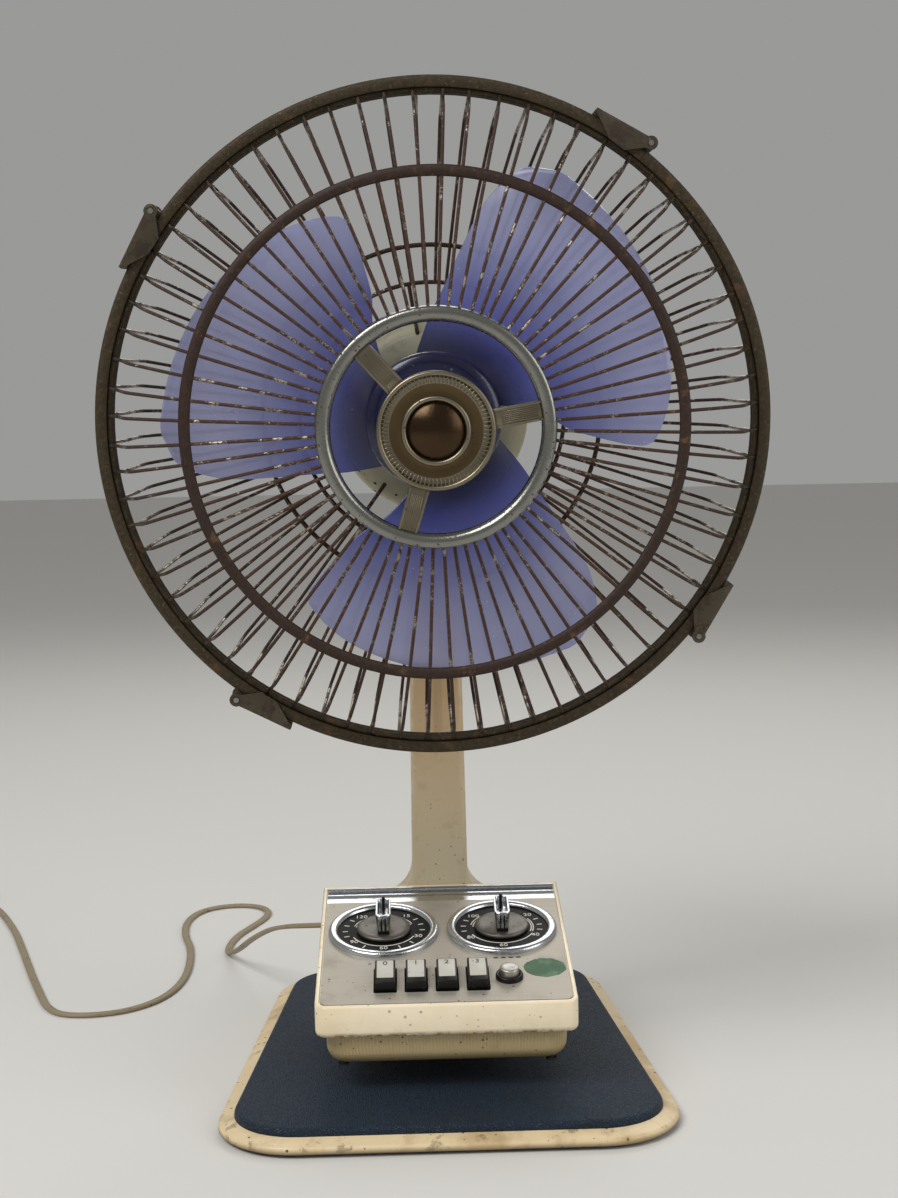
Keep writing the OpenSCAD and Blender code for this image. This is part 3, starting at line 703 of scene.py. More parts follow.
def worn_plating(name, base, roughness, amount, scale):
    """Bright plating with pits and stains."""
    given = colours()
    made = Finish(name, base, roughness, 1.0)
    made.lay("patches", (60.0, 0.45, 0.75), 0.45, [c * 0.62 for c in base[:3]] + [1], roughness + 0.22)
    made.lay("specks", (scale, amount), 0.85, "3b322a", 0.75, 0.2)
    made.lay("patches", (150.0, 0.66, 0.74), 0.6, given.rust, 0.8, 0.1)
    made.bump(made.effect("patches", 900.0, 0.3, 0.8), 0.2, 0.0002)
    return made.done()


def make_rusty_wire():
    """Plated wire rusted nearly through: bare plating is left in streaks, a little more of it near the hub
    and more still at the hooks over the rim.
    """
    given = colours()
    made = Finish("rusty_wire", linear("948a7c"), 0.28, 1.0)
    made.centred(HEAD)
    radius = made.radius()
    hook = made.between(radius, 0.158, 0.164)
    inner = made.below(radius, 0.06, 0.1)
    spare = calc(made.tree, "ADD", made.times(inner, 0.1), made.times(hook, 0.42))
    amount = made.less(0.86, spare)
    rusted = made.effect("rust", 130.0, amount)
    dark = made.effect("rust", 130.0, amount, output="Dark")
    made.cover(rusted, 1.0, given.rust, 0.72, 0.1)
    made.cover(made.times(rusted, dark), 0.85, given.dark_rust)
    made.cover(made.times(rusted, made.effect("patches", 420.0, 0.6, 0.7)), 0.55, "7c4d2a")
    outer = made.times(made.between(radius, 0.126, 0.14), made.less(1.0, hook))
    made.cover(outer, 0.35, "1d1411")
    made.bump(made.effect("rust", 260.0, output="Height"), 0.6, 0.0005)
    return made.done()


def make_ring_rust():
    given = colours()
    made = Finish("ring_rust", linear("38251a"), 0.58, 0.35)
    made.centred(HEAD)
    made.cover(made.effect("rust", 60.0, 0.6, output="Dark"), 0.65, given.dark_rust)
    made.lay("patches", (170.0, 0.58, 0.72), 0.6, "7a5a40", 0.42, 0.7)
    made.bump(made.effect("rust", 220.0, output="Height"), 0.6, 0.0006)
    return made.done()


def make_rim_rust():
    given = colours()
    made = Finish("rim_rust", linear("40351f"), 0.6, 0.4)
    made.centred(HEAD)
    made.cover(made.effect("rust", 50.0, 0.6, output="Dark"), 0.6, given.dark_rust)
    made.lay("patches", (90.0, 0.55, 0.72), 0.6, "6b4a29")
    made.lay("patches", (600.0, 0.58, 0.7), 0.5, "84765a", 0.42, 0.7)
    made.bump(made.effect("rust", 240.0, output="Height"), 0.7, 0.0008)
    return made.done()


def make_clip_steel():
    given = colours()
    made = Finish("clip_steel", linear("554d40"), 0.42, 0.8)
    made.cover(made.effect("rust", 110.0, 0.5), 0.8, "33261a", 0.75, 0.2)
    made.lay("edge_wear", (200.0, 0.56, 0.62), 0.6, "a89f8c", 0.35, 1.0)
    made.bump(made.effect("rust", 300.0, output="Height"), 0.5, 0.0005)
    return made.done()


def make_blade_blue():
    """Clear blue plastic, deep at the hub, with a painted reflection of the bright surroundings that turns it
    lavender grey towards the tips, under a film of dust.
    """
    given = colours()
    made = Finish("blade_blue", given.blade, 0.2, IOR=1.45, Transmission_Weight=0.5, Coat_Weight=0.2,
                  Coat_Roughness=0.25)
    made.centred(HEAD)
    radius = made.radius()
    # The lavender grey base colour is a painted reflection of the surroundings; the plastic's own deep blue
    # takes over from it towards the hub.
    made.cover(made.below(radius, 0.05, 0.125), 0.85, given.blade_deep)
    made.cover(made.below(radius, 0.036, 0.062), 0.9, given.hub)
    made.lay("patches", (18.0, 0.38, 0.78), 0.25, "8388bd", 0.3)
    made.lay("specks", (320.0, 0.16), 0.2, "8f8f9c", 0.6)
    made.bump(made.effect("patches", 60.0, 0.2, 0.8), 0.08, 0.0005)
    return made.done()


def make_hub_blue():
    given = colours()
    made = Finish("hub_blue", given.hub, 0.22, Coat_Weight=0.4, Coat_Roughness=0.12)
    made.lay("patches", (40.0, 0.45, 0.8), 0.25, "3a3d6c", 0.4)
    made.lay("specks", (300.0, 0.25), 0.4, "77777f", 0.6)
    return made.done()


def make_motor_paint():
    given = colours()
    return dirty_plastic("motor_paint", given.motor, 0.45, 0.7, 240.0).done()


def make_green_paper():
    made = Finish("green_paper", linear("3f5f43"), 0.6)
    made.lay("patches", (110.0, 0.4, 0.75), 0.5, "7d9f72")
    made.lay("streaks", ((300.0, 60.0, 60.0), 0.5, 0.7), 0.35, "3d6a50")
    made.bump(made.effect("patches", 500.0, 0.3, 0.8), 0.3, 0.0002)
    return made.done()


def make_lead_vinyl():
    given = colours()
    made = dirty_plastic("lead_vinyl", given.lead, 0.5, 0.6, 330.0)
    return made.done()


def plain_metal(name, code, roughness, stain):
    made = Finish(name, linear(code), roughness, 0.9)
    made.lay("patches", (80.0, 0.45, 0.7), 0.5, linear(stain), min(roughness + 0.25, 0.9))
    made.lay("specks", (320.0, 0.3), 0.6, "33261a", 0.85, 0.1)
    made.bump(made.effect("streaks", (900.0, 900.0, 900.0), output="Height"), 0.15, 0.0002)
    return made.done()


def plain_plastic(name, code, roughness, dirt, specular=0.5):
    return dirty_plastic(name, linear(code), roughness, dirt, Specular_IOR_Level=specular).done()


def make_works_board():
    """Resin board with a faint woven cloth in it."""
    made = Finish("works_board", linear("6d4a2c"), 0.5)
    made.lay("streaks", ((900.0, 200.0, 900.0), 0.4, 0.6), 0.4, "4e331e")
    made.bump(made.effect("streaks", (900.0, 200.0, 900.0), output="Height"), 0.2, 0.0002)
    return made.done()


FINISHES = {
    "rim_cream": make_rim_cream, "mat_vinyl": make_mat_vinyl, "column_paint": make_column_paint,
    "box_plastic": make_box_plastic, "tray_plastic": make_tray_plastic, "panel_metal": make_panel_metal,
    "rusty_wire": make_rusty_wire, "ring_rust": make_ring_rust, "rim_rust": make_rim_rust,
    "clip_steel": make_clip_steel, "blade_blue": make_blade_blue, "hub_blue": make_hub_blue,
    "motor_paint": make_motor_paint, "green_paper": make_green_paper, "lead_vinyl": make_lead_vinyl,
    "works_board": make_works_board,
}
# Base colour, roughness, size of the pits and how close they lie.
PLATINGS = {
    "chrome": ("chrome", 0.14, 0.2, 300.0), "badge_chrome": ("8a8a84", 0.24, 0.42, 560.0),
    "nickel": ("nickel", 0.32, 0.3, 380.0), "bronze": ("5f5039", 0.36, 0.28, 380.0),
    "dome_brown": ("453628", 0.22, 0.2, 380.0),
}
# Colour, roughness, share of dirt and, on the blacks, a weaker reflection.
PLASTICS = {
    "key_black": ("0f0e0e", 0.32, 0.1, 0.3), "dial_black": ("0e0d0c", 0.5, 0.1, 0.15),
    "label_metal": ("c9c6bb", 0.4, 0.25), "mark_white": ("e2dfd2", 0.6, 0.1),
    "mark_black": ("26231f", 0.5, 0.1), "cord_black": ("211f1d", 0.55, 0.3),
    "foot_rubber": ("1c1b1a", 0.8, 0.4), "plug_plastic": ("8d8472", 0.45, 0.5),
    "ivory_knob": ("d8d0b8", 0.35, 0.4),
}
# Colour, roughness and the colour of the stains.
METALS = {
    "knob_grey": ("6f6b63", 0.42, "4b473f"), "button_metal": ("b9b6ae", 0.35, "8b877d"),
    "steel": ("8d8b86", 0.4, "5b5248"), "plate_steel": ("6d6a62", 0.55, "5b5248"),
    "dark_steel": ("3d3a37", 0.6, "5b5248"), "brass": ("b08d4a", 0.35, "6f5730"),
    "winding": ("7a4a2a", 0.4, "3c2417"),
}


def finish(name):
    """The material of that name, made when it is first asked for."""
    made = bpy.data.materials.get(f"{name}_finish")
    if made:
        return made
    if name in PLATINGS:
        base, *rest = PLATINGS[name]
        return worn_plating(name, getattr(colours(), base, None) or linear(base), *rest)
    for table, make in ((PLASTICS, plain_plastic), (METALS, plain_metal)):
        if name in table:
            return make(name, *table[name])
    return FINISHES[name]()


# ---------- camera, floor and lights ----------
class FAN_OT_stage(bpy.types.Operator):
    """Set the camera, the pale floor and the soft studio lights"""

    bl_idname = "desk_fan.stage"
    bl_label = "Stage"

    def light(self, name, spot, target, size, power):
        lamp = bpy.data.lights.new(name, "AREA")
        lamp.shape = "RECTANGLE"
        lamp.size, lamp.size_y = size
        lamp.energy = power
        made = bpy.data.objects.new(name, lamp)
        made.location = spot
        made.rotation_euler = (Vector(target) - Vector(spot)).to_track_quat("-Z", "Y").to_euler()
        bpy.context.scene.collection.objects.link(made)

    def execute(self, context):
        stage, scene = context.scene.fan_stage, context.scene
        lens = bpy.data.cameras.new("camera")
        lens.lens = stage.lens
        camera = bpy.data.objects.new("camera", lens)
        turn = Matrix.Rotation(-stage.heading, 4, "Z") @ Matrix.Rotation(math.pi / 2 - stage.dip, 4, "X")
        camera.matrix_world = Matrix.Translation(stage.place) @ turn @ Matrix.Rotation(-stage.roll, 4, "Z")
        scene.collection.objects.link(camera)
        scene.camera = camera

        bm = bmesh.new()
        bmesh.ops.create_grid(bm, x_segments=1, y_segments=1, size=12)
        mesh = bpy.data.meshes.new("floor")
        bm.to_mesh(mesh)
        bm.free()
        floor = bpy.data.objects.new("floor", mesh)
        scene.collection.objects.link(floor)
        pale = Finish("floor", colours().floor, 0.75)
        pale.bump(pale.effect("patches", 90.0, 0.2, 0.8), 0.05, 0.001)
        mesh.materials.append(pale.done())

        world = scene.world or bpy.data.worlds.new("surround")
        scene.world = world
        world.use_nodes = True
        background = world.node_tree.nodes["Background"]
        background.inputs["Color"].default_value = linear("e3e3e1")
        background.inputs["Strength"].default_value = stage.sky
        scene.view_settings.view_transform = "Standard"
        self.light("key", (-1.1, -1.2, 1.9), (0, 0, 0.25), (1.4, 1.0), stage.key)
        self.light("fill", (1.6, -0.9, 0.9), (0, 0, 0.25), (1.2, 1.2), stage.fill)
        self.light("back", (0.3, 1.5, 1.6), (0, 0, 0.3), (1.6, 0.8), stage.fill)
        return {"FINISHED"}


# ---------- mains lead ----------
class FAN_OT_lead(bpy.types.Operator):
    """Build the flat twin mains lead, its strain relief and its plug"""

    bl_idname = "desk_fan.lead"
    bl_label = "Mains lead"

    def path(self):
        """The route, then turns that each pass into the next over their last stretch, then the plug."""
        centre = Vector((*COIL_CENTRE, 0))
        steps, steady = 24, 0.7
        turns = []
        for number, (radius, height) in enumerate(COIL_TURNS):
            following = COIL_TURNS[min(number + 1, len(COIL_TURNS) - 1)]
            for k in range(steps):
                ease = max(0.0, k / steps - steady) / (1 - steady)
                r = radius + (following[0] - radius) * ease
                z = height + (following[1] - height) * ease
                a = math.tau * k / steps
                turns.append(centre + Vector((r * math.cos(a), r * math.sin(a), z)))
        radius, height = COIL_TURNS[-1]
        turns += [centre + Vector((radius * math.cos(a), radius * math.sin(a), height + rise))
                  for a, rise in ((0, 0), (0.4, 0), (0.8, 0.0004), (1.2, 0.0012))]
        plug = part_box("plug_body")[1]
        entry = Vector((plug.x, COIL_CENTRE[1] + radius, 0.007))
        turns += [entry + Vector((0.009, 0, -0.0004)), entry - Vector((0.004, 0, 0))]
        return flowing(list(map(Vector, LEAD_ROUTE)) + turns, 3)

    def execute(self, context):
        sizes = context.scene.fan_sizes
        half = sizes.lead_height / 2
        off = sizes.lead_width / 2 - half
        outline = arc((off, 0), half, -125, 125, 7) + arc((-off, 0), half, 55, 305, 7)
        path = self.path()
        bm = bmesh.new()
        swept(bm, outline, spots_along(path, Vector((0, 0, 1))))
        lead = piece(bm, "mains_lead", "lead_vinyl", "stand", ("cord_tube", "cord_coil"))

        bm = bmesh.new()
        steps = [(0.0066, 0), (0.0066, 0.0014), (0.0062, 0.0018), (0.0062, 0.004)]
        for ring in range(6):
            z, r = 0.005 + ring * 0.0037, 0.0061 - ring * 0.00035
            steps += [(r, z), (r, z + 0.0022), (r - 0.0012, z + 0.0026), (r - 0.0012, z + 0.0034)]
        steps += [(0.0036, 0.0285), (0.0024, 0.0288), (0.0024, 0)]
        turned(bm, steps, 32)
        out = Matrix.Rotation(-math.pi / 2, 4, "Y")
        spot = move(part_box("cord_gland")[1].x, *LEAD_ROUTE[0][1:]) @ out
        relief = piece(bm, "strain_relief", "cord_black", "stand", ("cord_gland",), spot)

        bm = cad_copy("plug_body", 0.0016, 3)
        plug = piece(bm, "plug", "plug_plastic", "stand", ("plug_body",))
        return {"FINISHED"}


# ---------- base ----------
def base_outline(inset=0.0):
    """The base from above, measured from its packed shell: wider at the front, with round corners."""
    low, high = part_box("base_shell")
    front, rear, reach, radius = high.x, high.x - 0.017, high.y, 0.044
    slope = (front - rear) / (2 * (reach - radius))
    wide = front + slope * radius - inset
    narrow = rear - slope * radius - inset
    corners = [(wide, low.y + inset), (narrow, high.y - inset), (-narrow, high.y - inset),
               (-wide, low.y + inset)]
    return rounded(corners, radius - inset, 14)


class FAN_OT_base(bpy.types.Operator):
    """Build the cream base rim and the padded navy mat"""

    bl_idname = "desk_fan.base"
    bl_label = "Base"

    def execute(self, context):
        sizes = context.scene.fan_sizes
        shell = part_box("base_shell")
        bm = bmesh.new()
        # the first face stays below as the underside
        top = raised(bm, sheet(bm, base_outline(0.0006), shell[0].z), 0)
        stepped(bm, top, [(-0.0006, 0.0006), (0, 0.0018)] + crown(0.0018)
                + [(0.0042, 0.0013), (0.0024, 0.0009), (0.001, -0.0006), (0.0004, -0.0016)])
        piece(bm, "base_rim", "rim_cream", "stand", ("base_shell",))

        bm = bmesh.new()
        low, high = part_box("base_mat")
        roll, sunk, swell = sizes.mat_roll, 0.0012, 0.0004
        top = sheet(bm, base_outline(0.0092), low.z - sunk)
        top = raised(bm, top, high.z - low.z + sunk - roll - swell)
        stepped(bm, top, crown(roll, 6) + [(0.006, 0.0003), (0.02, 0.0001)])
        piece(bm, "padded_mat", "mat_vinyl", "stand", ("base_mat",), smooth=60)
        return {"FINISHED"}


# ---------- column ----------
class FAN_OT_column(bpy.types.Operator):
    """Build the flared column and its rear cover"""

    bl_idname = "desk_fan.column"
    bl_label = "Column"

    def outline(self, inset):
        """The column from the front, as (across, up) points."""
        low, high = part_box("column_shell")
        foot, flare, shoulder, neck, tip = high.x, 0.02, 0.083, 0.0168, 0.0150
        right = [(foot - inset, low.z), (foot - inset, shoulder - inset)]
        right += arc((neck + flare, shoulder + flare), flare + inset, 270, 180, 8)
        right += [(tip - inset, high.z)]
        return right + [(-x, z) for x, z in reversed(right)]

    def execute(self, context):
        low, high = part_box("column_shell")
        # Z of the sheet points to the front once it is stood up
        stand_up = move(0, high.y, 0) @ Matrix.Rotation(math.pi / 2, 4, "X")
        bm = bmesh.new()
        top = raised(bm, sheet(bm, self.outline(0)), high.y - low.y - 0.0045)
        stepped(bm, top, crown(0.0045, 5))
        piece(bm, "column_case", "column_paint", "stand", ("column_shell",),
              stand_up)
        bm = bmesh.new()
        top = raised(bm, sheet(bm, self.outline(0.0021)), -0.0004)
        piece(bm, "column_back", "column_paint", "stand", ("column_rear_cover",), stand_up)
        return {"FINISHED"}


# ---------- control box ----------
class FAN_OT_box(bpy.types.Operator):
    """Build the cream cover and the reeded tray of the control box"""

    bl_idname = "desk_fan.box"
    bl_label = "Control box"

    def cover(self):
        low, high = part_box("control_cover")
        front = PANEL.translation.z
        bm = bmesh.new()
        profile = [(low.y, low.z), (high.y, low.z), (high.y, high.z), (low.y, front)]
        side = bm.faces.new([bm.verts.new((low.x, y, z)) for y, z in profile])
        made = bmesh.ops.extrude_face_region(bm, geom=[side])["geom"]
        bmesh.ops.translate(bm, verts=only(made, bmesh.types.BMVert), vec=(high.x - low.x, 0, 0))
        bmesh.ops.recalc_face_normals(bm, faces=bm.faces)
        near = 1e-5
        upright = [e for e in bm.edges if all(abs(v.co.y - low.y) < near for v in e.verts)
                   and abs(e.verts[0].co.x - e.verts[1].co.x) < near]
        soften(bm, upright, 0.006, 5)
        under = min(bm.faces, key=lambda f: f.calc_center_median().z)
        soften(bm, list(under.edges), 0.0035, 4)
        lid = max(bm.faces, key=lambda f: f.normal.z * f.calc_area())
        soften(bm, list(lid.edges), 0.0009, 3)
        lid = max(bm.faces, key=lambda f: f.normal.z * f.calc_area())
        stepped(bm, lid, [(0.0012, 0), (0.0002, -0.0011), (0.0032, 0)])
        under = min(bm.faces, key=lambda f: f.calc_center_median().z)
        bmesh.ops.delete(bm, geom=[lid, under], context="FACES_ONLY")
        made = piece(bm, "box_cover", "box_plastic", "stand", ("control_cover",))
        wall = made.modifiers.new("wall", "SOLIDIFY")
        wall.thickness = 0.0018
        wall.offset = -1

    def reeded(self, bm, low, high, inset, height, pitch, depth):
        """A closed loop of edges, cut into fine upright reeds, at an inset and a height."""
        corners = [(low.x + inset, low.y + inset), (high.x - inset, low.y + inset),
                   (high.x - inset, high.y - inset), (low.x + inset, high.y - inset)]
        smooth = [Vector(p) for p in rounded(corners, 0.013 - inset, 12)]
        around = list(zip(smooth, smooth[1:] + smooth[:1]))
        count = 2 * round(2 * (high.x - low.x + high.y - low.y) / pitch)
        step = sum((b - a).length for a, b in around) / count
        verts, carry = [], 0.0
        for a, b in around:
            span, out = (b - a).length, (b - a).normalized()
            while carry < span and len(verts) < count:
                spot = a.lerp(b, carry / span) - Vector((out.y, -out.x)) * depth * (len(verts) % 2)
                verts.append(bm.verts.new((*spot, height)))
                carry += step
            carry -= span
        return verts, [bm.edges.new(pair) for pair in zip(verts, verts[1:] + verts[:1])]

    def tray(self):
        """The tray: nearly upright reeded sides that roll under in a wide curve."""
        low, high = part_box("control_tray")
        radius = 0.0082
        profile = [(0.0, 0.0185), (0.0005, radius)]
        profile += [(0.0005 + radius * (1 - math.cos(a)), radius * (1 - math.sin(a)))
                    for a in [math.pi / 2 * k / 6 for k in range(1, 7)]]
        bm = bmesh.new()
        rings = [self.reeded(bm, low, high, inset, low.z + rise, 0.0019, 0.0003) for inset, rise in profile]
        for one, two in zip(rings, rings[1:]):
            bmesh.ops.bridge_loops(bm, edges=one[1] + two[1])
        for verts in (rings[0][0], rings[-1][0]):
            bm.faces.new(verts)
        piece(bm, "box_tray", "tray_plastic", "stand", ("control_tray",), smooth=25)

    def execute(self, context):
        self.cover()
        self.tray()
        return {"FINISHED"}


# ---------- panel ----------
def middle_x(node):
    low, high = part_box(node)
    return (low.x + high.x) / 2


FIRST_KEY = middle_x("key_0")
KEY_PITCH = (middle_x("key_3") - FIRST_KEY) / 3
BUTTON_X = middle_x("push_button")
KEY_SIZE = (0.0112, 0.023)


def oblong(x, y, wide, long, radius=0.001):
    return rounded([(x - wide / 2, y - long / 2), (x + wide / 2, y - long / 2), (x + wide / 2, y + long / 2),
                    (x - wide / 2, y + long / 2)], radius, 4)


class FAN_OT_panel(bpy.types.Operator):
    """Build the brushed panel, its rolled trim, its marks and the green spot"""

    bl_idname = "desk_fan.panel"
    bl_label = "Panel"

    def execute(self, context):
        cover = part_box("control_cover")
        half = cover[1].x - 0.0029
        rise = (cover[1].y - cover[0].y) / PANEL[1][1]
        trim = rise - 0.0215
        bm = bmesh.new()
        front = rounded([(-half, 0.0029), (half, 0.0029), (half, 0.2), (-half, 0.2)], 0.0045, 6)[:14]
        outline = front + [(half, trim), (-half, trim)]
        holes = [arc((x, DIAL_RISE), 0.0055, 0, 345, 23) for x in (-DIAL_X, DIAL_X)]
        holes += [oblong(FIRST_KEY + i * KEY_PITCH, KEY_RISE, KEY_SIZE[0] + 0.0016, 0.0268) for i in range(4)]
        holes += [arc((BUTTON_X, KEY_RISE), 0.0062, 0, 345, 23)]
        pierced(bm, outline, holes, 0.001)
        piece(bm, "metal_panel", "panel_metal", "stand", ("control_panel",), PANEL)

        bm = bmesh.new()
        deep = rise - 0.0026
        profile = [(trim, -0.001), (trim, 0), (trim + 0.0035, 0.0001)]
        profile += arc((trim + 0.0085, -0.0032), 0.0041, 125, 55, 8)
        profile += arc((deep - 0.0032, -0.0001), 0.0016, 200, 20, 8)
        profile += [(deep, -0.001)]
        with placed(bm, Matrix(((0, 0, 1, -half), (1, 0, 0, 0), (0, 1, 0, 0), (0, 0, 0, 1)))):
            raised(bm, sheet(bm, profile), 2 * half)
        piece(bm, "rolled_trim", "chrome", "stand", ("panel_trim",), PANEL, 30)

        bm = bmesh.new()
        film = 0.00006
        for i in range(4):
            x = BUTTON_X + (i - 1.5) * 0.0042
            block(bm, (x - 0.0012, KEY_RISE + 0.0214, 0), (x + 0.0012, KEY_RISE + 0.0228, film))
        block(bm, (FIRST_KEY - 0.0095, KEY_RISE + 0.0182, 0), (FIRST_KEY - 0.0078, KEY_RISE + 0.0192, film))
        piece(bm, "panel_marks", "mark_black", "stand", (), PANEL)

        bm = bmesh.new()
        ragged, points = random.Random(4), 40
        edge = [(0.0552 + (0.0117 + ragged.uniform(-0.0004, 0.0003)) * math.cos(a),
                 0.0372 + (0.0104 + ragged.uniform(-0.0005, 0.0003)) * math.sin(a))
                for a in [math.tau * k / points for k in range(points)]]
        raised(bm, sheet(bm, edge), 0.00012)
        piece(bm, "green_spot", "green_paper", "stand", (), PANEL)
        return {"FINISHED"}


# ---------- dials ----------
class FAN_OT_dials(bpy.types.Operator):
    """Build the chrome bezels, the marked dial plates and the two bar knobs"""

    bl_idname = "desk_fan.dials"
    bl_label = "Dials"

    def marks(self, bm, figures, ticks, arcs):
        """Figures, ticks and curved lines on a dial, with their angles from the top in degrees."""
        lift, thick, reach, high = 0.00092, 0.00012, 0.0213, 0.0048
        for angle, text in figures:
            a = math.radians(angle)
            figure(bm, text, high, thick, move(reach * math.sin(a), reach * math.cos(a), lift))
        for angle in ticks:
            with placed(bm, Matrix.Rotation(-math.radians(angle), 4, "Z")):
                block(bm, (-0.00035, 0.0206, lift), (0.00035, 0.0236, lift + thick))
        for start, sweep, radius in arcs:
            with placed(bm, Matrix.Rotation(math.radians(start), 4, "Z")):
                outer = radius + 0.0006
                turned(bm, [(radius, lift), (outer, lift), (outer, lift + thick), (radius, lift + thick)],
                       max(6, sweep // 8), True, sweep)

    def knob(self, dial, x):
        """A flat disc that carries a tall hollow bar."""
        bm = bmesh.new()
        disc = [(0, 0.0013)] + arc((0.0149, 0.0019), 0.0006, -90, 0, 3)
        disc += arc((0.0143, 0.0024), 0.0012, 0, 75, 4) + [(0.0115, 0.0039), (0.0108, 0.0037), (0, 0.0044)]
        turned(bm, disc, 64, closed=False)
        rod(bm, 0.0028, -0.016, 0.0015, 0.0002, 24)
        with painted(bm, 1):
            top = raised(bm, sheet(bm, oblong(0, 0, 0.0068, 0.0205, 0.0024), 0.004), 0.0112)
            bmesh.ops.scale(bm, vec=(1.3, 1.06, 1), verts=top.verts)
            stepped(bm, top, [(0.0003, 0.0004), (0.0008, 0.0001), (0.0005, -0.0006), (0.0002, -0.0045)])
        with painted(bm, 2):
            for side in (-0.0011, 0.0011):
                block(bm, (side - 0.0004, -0.0108, 0.0052), (side + 0.0004, -0.0098, 0.0136))
            block(bm, (-0.0032, -0.0104, 0.0036), (0.0032, -0.0094, 0.0056), 0.0002)
            block(bm, (-0.0009, 0.009, 0.01), (0.0009, 0.0108, 0.0171), 0.0003)
        piece(bm, f"{dial}_bar_knob", ["knob_grey", "chrome", "key_black"], f"{dial}_dial",
              (f"{dial}_knob",), PANEL @ move(x, DIAL_RISE, 0))

    def execute(self, context):
        bm, plates, white = bmesh.new(), bmesh.new(), bmesh.new()
        profile = [(0.0277, 0), (0.0277, 0.0009), (0.0264, 0.001), (0.0263, 0.0014)]
        profile += arc((0.0284, 0.001), 0.0021, 140, 90, 4) + arc((0.0296, 0.001), 0.0021, 90, 10, 7)
        profile += [(0.0318, 0.0003), (0.0318, 0)]
        for x in (-DIAL_X, DIAL_X):
            with placed(bm, move(x, DIAL_RISE, 0)):
                turned(bm, profile, 96)
            with placed(plates, move(x, DIAL_RISE, 0)):
                turned(plates, [(0.0036, 0), (0.0036, 0.0009), (0.0274, 0.0009), (0.0275, 0)], 96)
        with placed(white, move(-DIAL_X, DIAL_RISE, 0)):
            self.marks(white, [(-38, "120"), (38, "15"), (112, "30"), (-128, "90"), (180, "60")],
                       [56, 74, 92, -56, -74, -92, -108, 134, 156, -150],
                       [(110, 55, 0.0162), (112, 50, 0.0174), (20, 48, 0.0162), (24, 40, 0.0174),
                        (205, 130, 0.0186)])
        with placed(white, move(DIAL_X, DIAL_RISE, 0)):
            self.marks(white, [(-48, "100"), (48, "20"), (118, "40"), (-122, "80"), (180, "60")],
                       [66, 84, 100, -66, -84, -100],
                       [(115, 60, 0.0162), (118, 50, 0.0176), (-20, 60, 0.0168), (-18, 50, 0.018),
                        (205, 130, 0.0186)])
        piece(bm, "dial_rings", "chrome", "stand", ("dial_bezels",), PANEL)
        piece(plates, "dial_faces", "dial_black", "stand", ("dial_plates",), PANEL)
        piece(white, "dial_marks", "mark_white", "stand", (), PANEL)
        self.knob("timer", -DIAL_X)
        self.knob("rhythm", DIAL_X)
        return {"FINISHED"}


# ---------- keys ----------
class FAN_OT_keys(bpy.types.Operator):
    """Build the four speed keys with their label plates, and the push button"""

    bl_idname = "desk_fan.keys"
    bl_label = "Keys"

    def key(self, number):
        """A black cap that dips towards its front, with a metal label and a figure on it."""
        wide, long = KEY_SIZE
        low, top, dip = -0.003, 0.0064, 0.0012
        bm = bmesh.new()
        block(bm, (-wide / 2, -long / 2, low), (wide / 2, long / 2, top), 0.0007, 3)
        for vert in bm.verts:
            if vert.co.z > top / 2:
                vert.co.z -= dip * (0.5 - vert.co.y / long)
        block(bm, (-0.003, -0.004, -0.017), (0.003, 0.004, low + 0.0005))
        name, body = f"key_{number}", f"key{number}"
        spot = PANEL @ move(FIRST_KEY + number * KEY_PITCH, KEY_RISE, 0)
        piece(bm, f"{name}_cap", "key_black", body, (name,), spot)
        tilt = Matrix.Rotation(math.atan(dip / long), 4, "X")
        label = spot @ move(0, 0.0012, top - 0.0006) @ tilt
        bm = bmesh.new()
        plate = raised(bm, sheet(bm, oblong(0, 0.0006, wide - 0.0022, 0.0172, 0.0006)), 0.00028)
        stepped(bm, plate, [(0.0002, 0.00012)])
        piece(bm, f"{name}_label", "label_metal", body, (), label)
        bm = bmesh.new()
        figure(bm, str(number), 0.0054, 0.0001, move(0, 0.006, 0.0004))
        piece(bm, f"{name}_figure", "mark_black", body, (), label)

    def execute(self, context):
        for number in range(4):
            self.key(number)
        spot = PANEL @ move(BUTTON_X, KEY_RISE, 0)
        bm = bmesh.new()
        turned(bm, [(0, -0.017), (0.003, -0.017), (0.003, -0.002), (0.0054, -0.002), (0.0054, 0.0042)]
               + arc((0.0044, 0.0055), 0.001, 0, 70, 4) + [(0.003, 0.0065), (0, 0.0066)], 40, closed=False)
        piece(bm, "button_cap", "button_metal", "button", ("push_button",), spot)
        bm = bmesh.new()
        turned(bm, [(0.0058, 0), (0.0058, 0.0024)] + arc((0.0067, 0.0019), 0.0008, 120, 0, 5)
               + [(0.0076, 0)], 40)
        piece(bm, "button_ring", "key_black", "stand", ("button_collar",), spot)
        return {"FINISHED"}


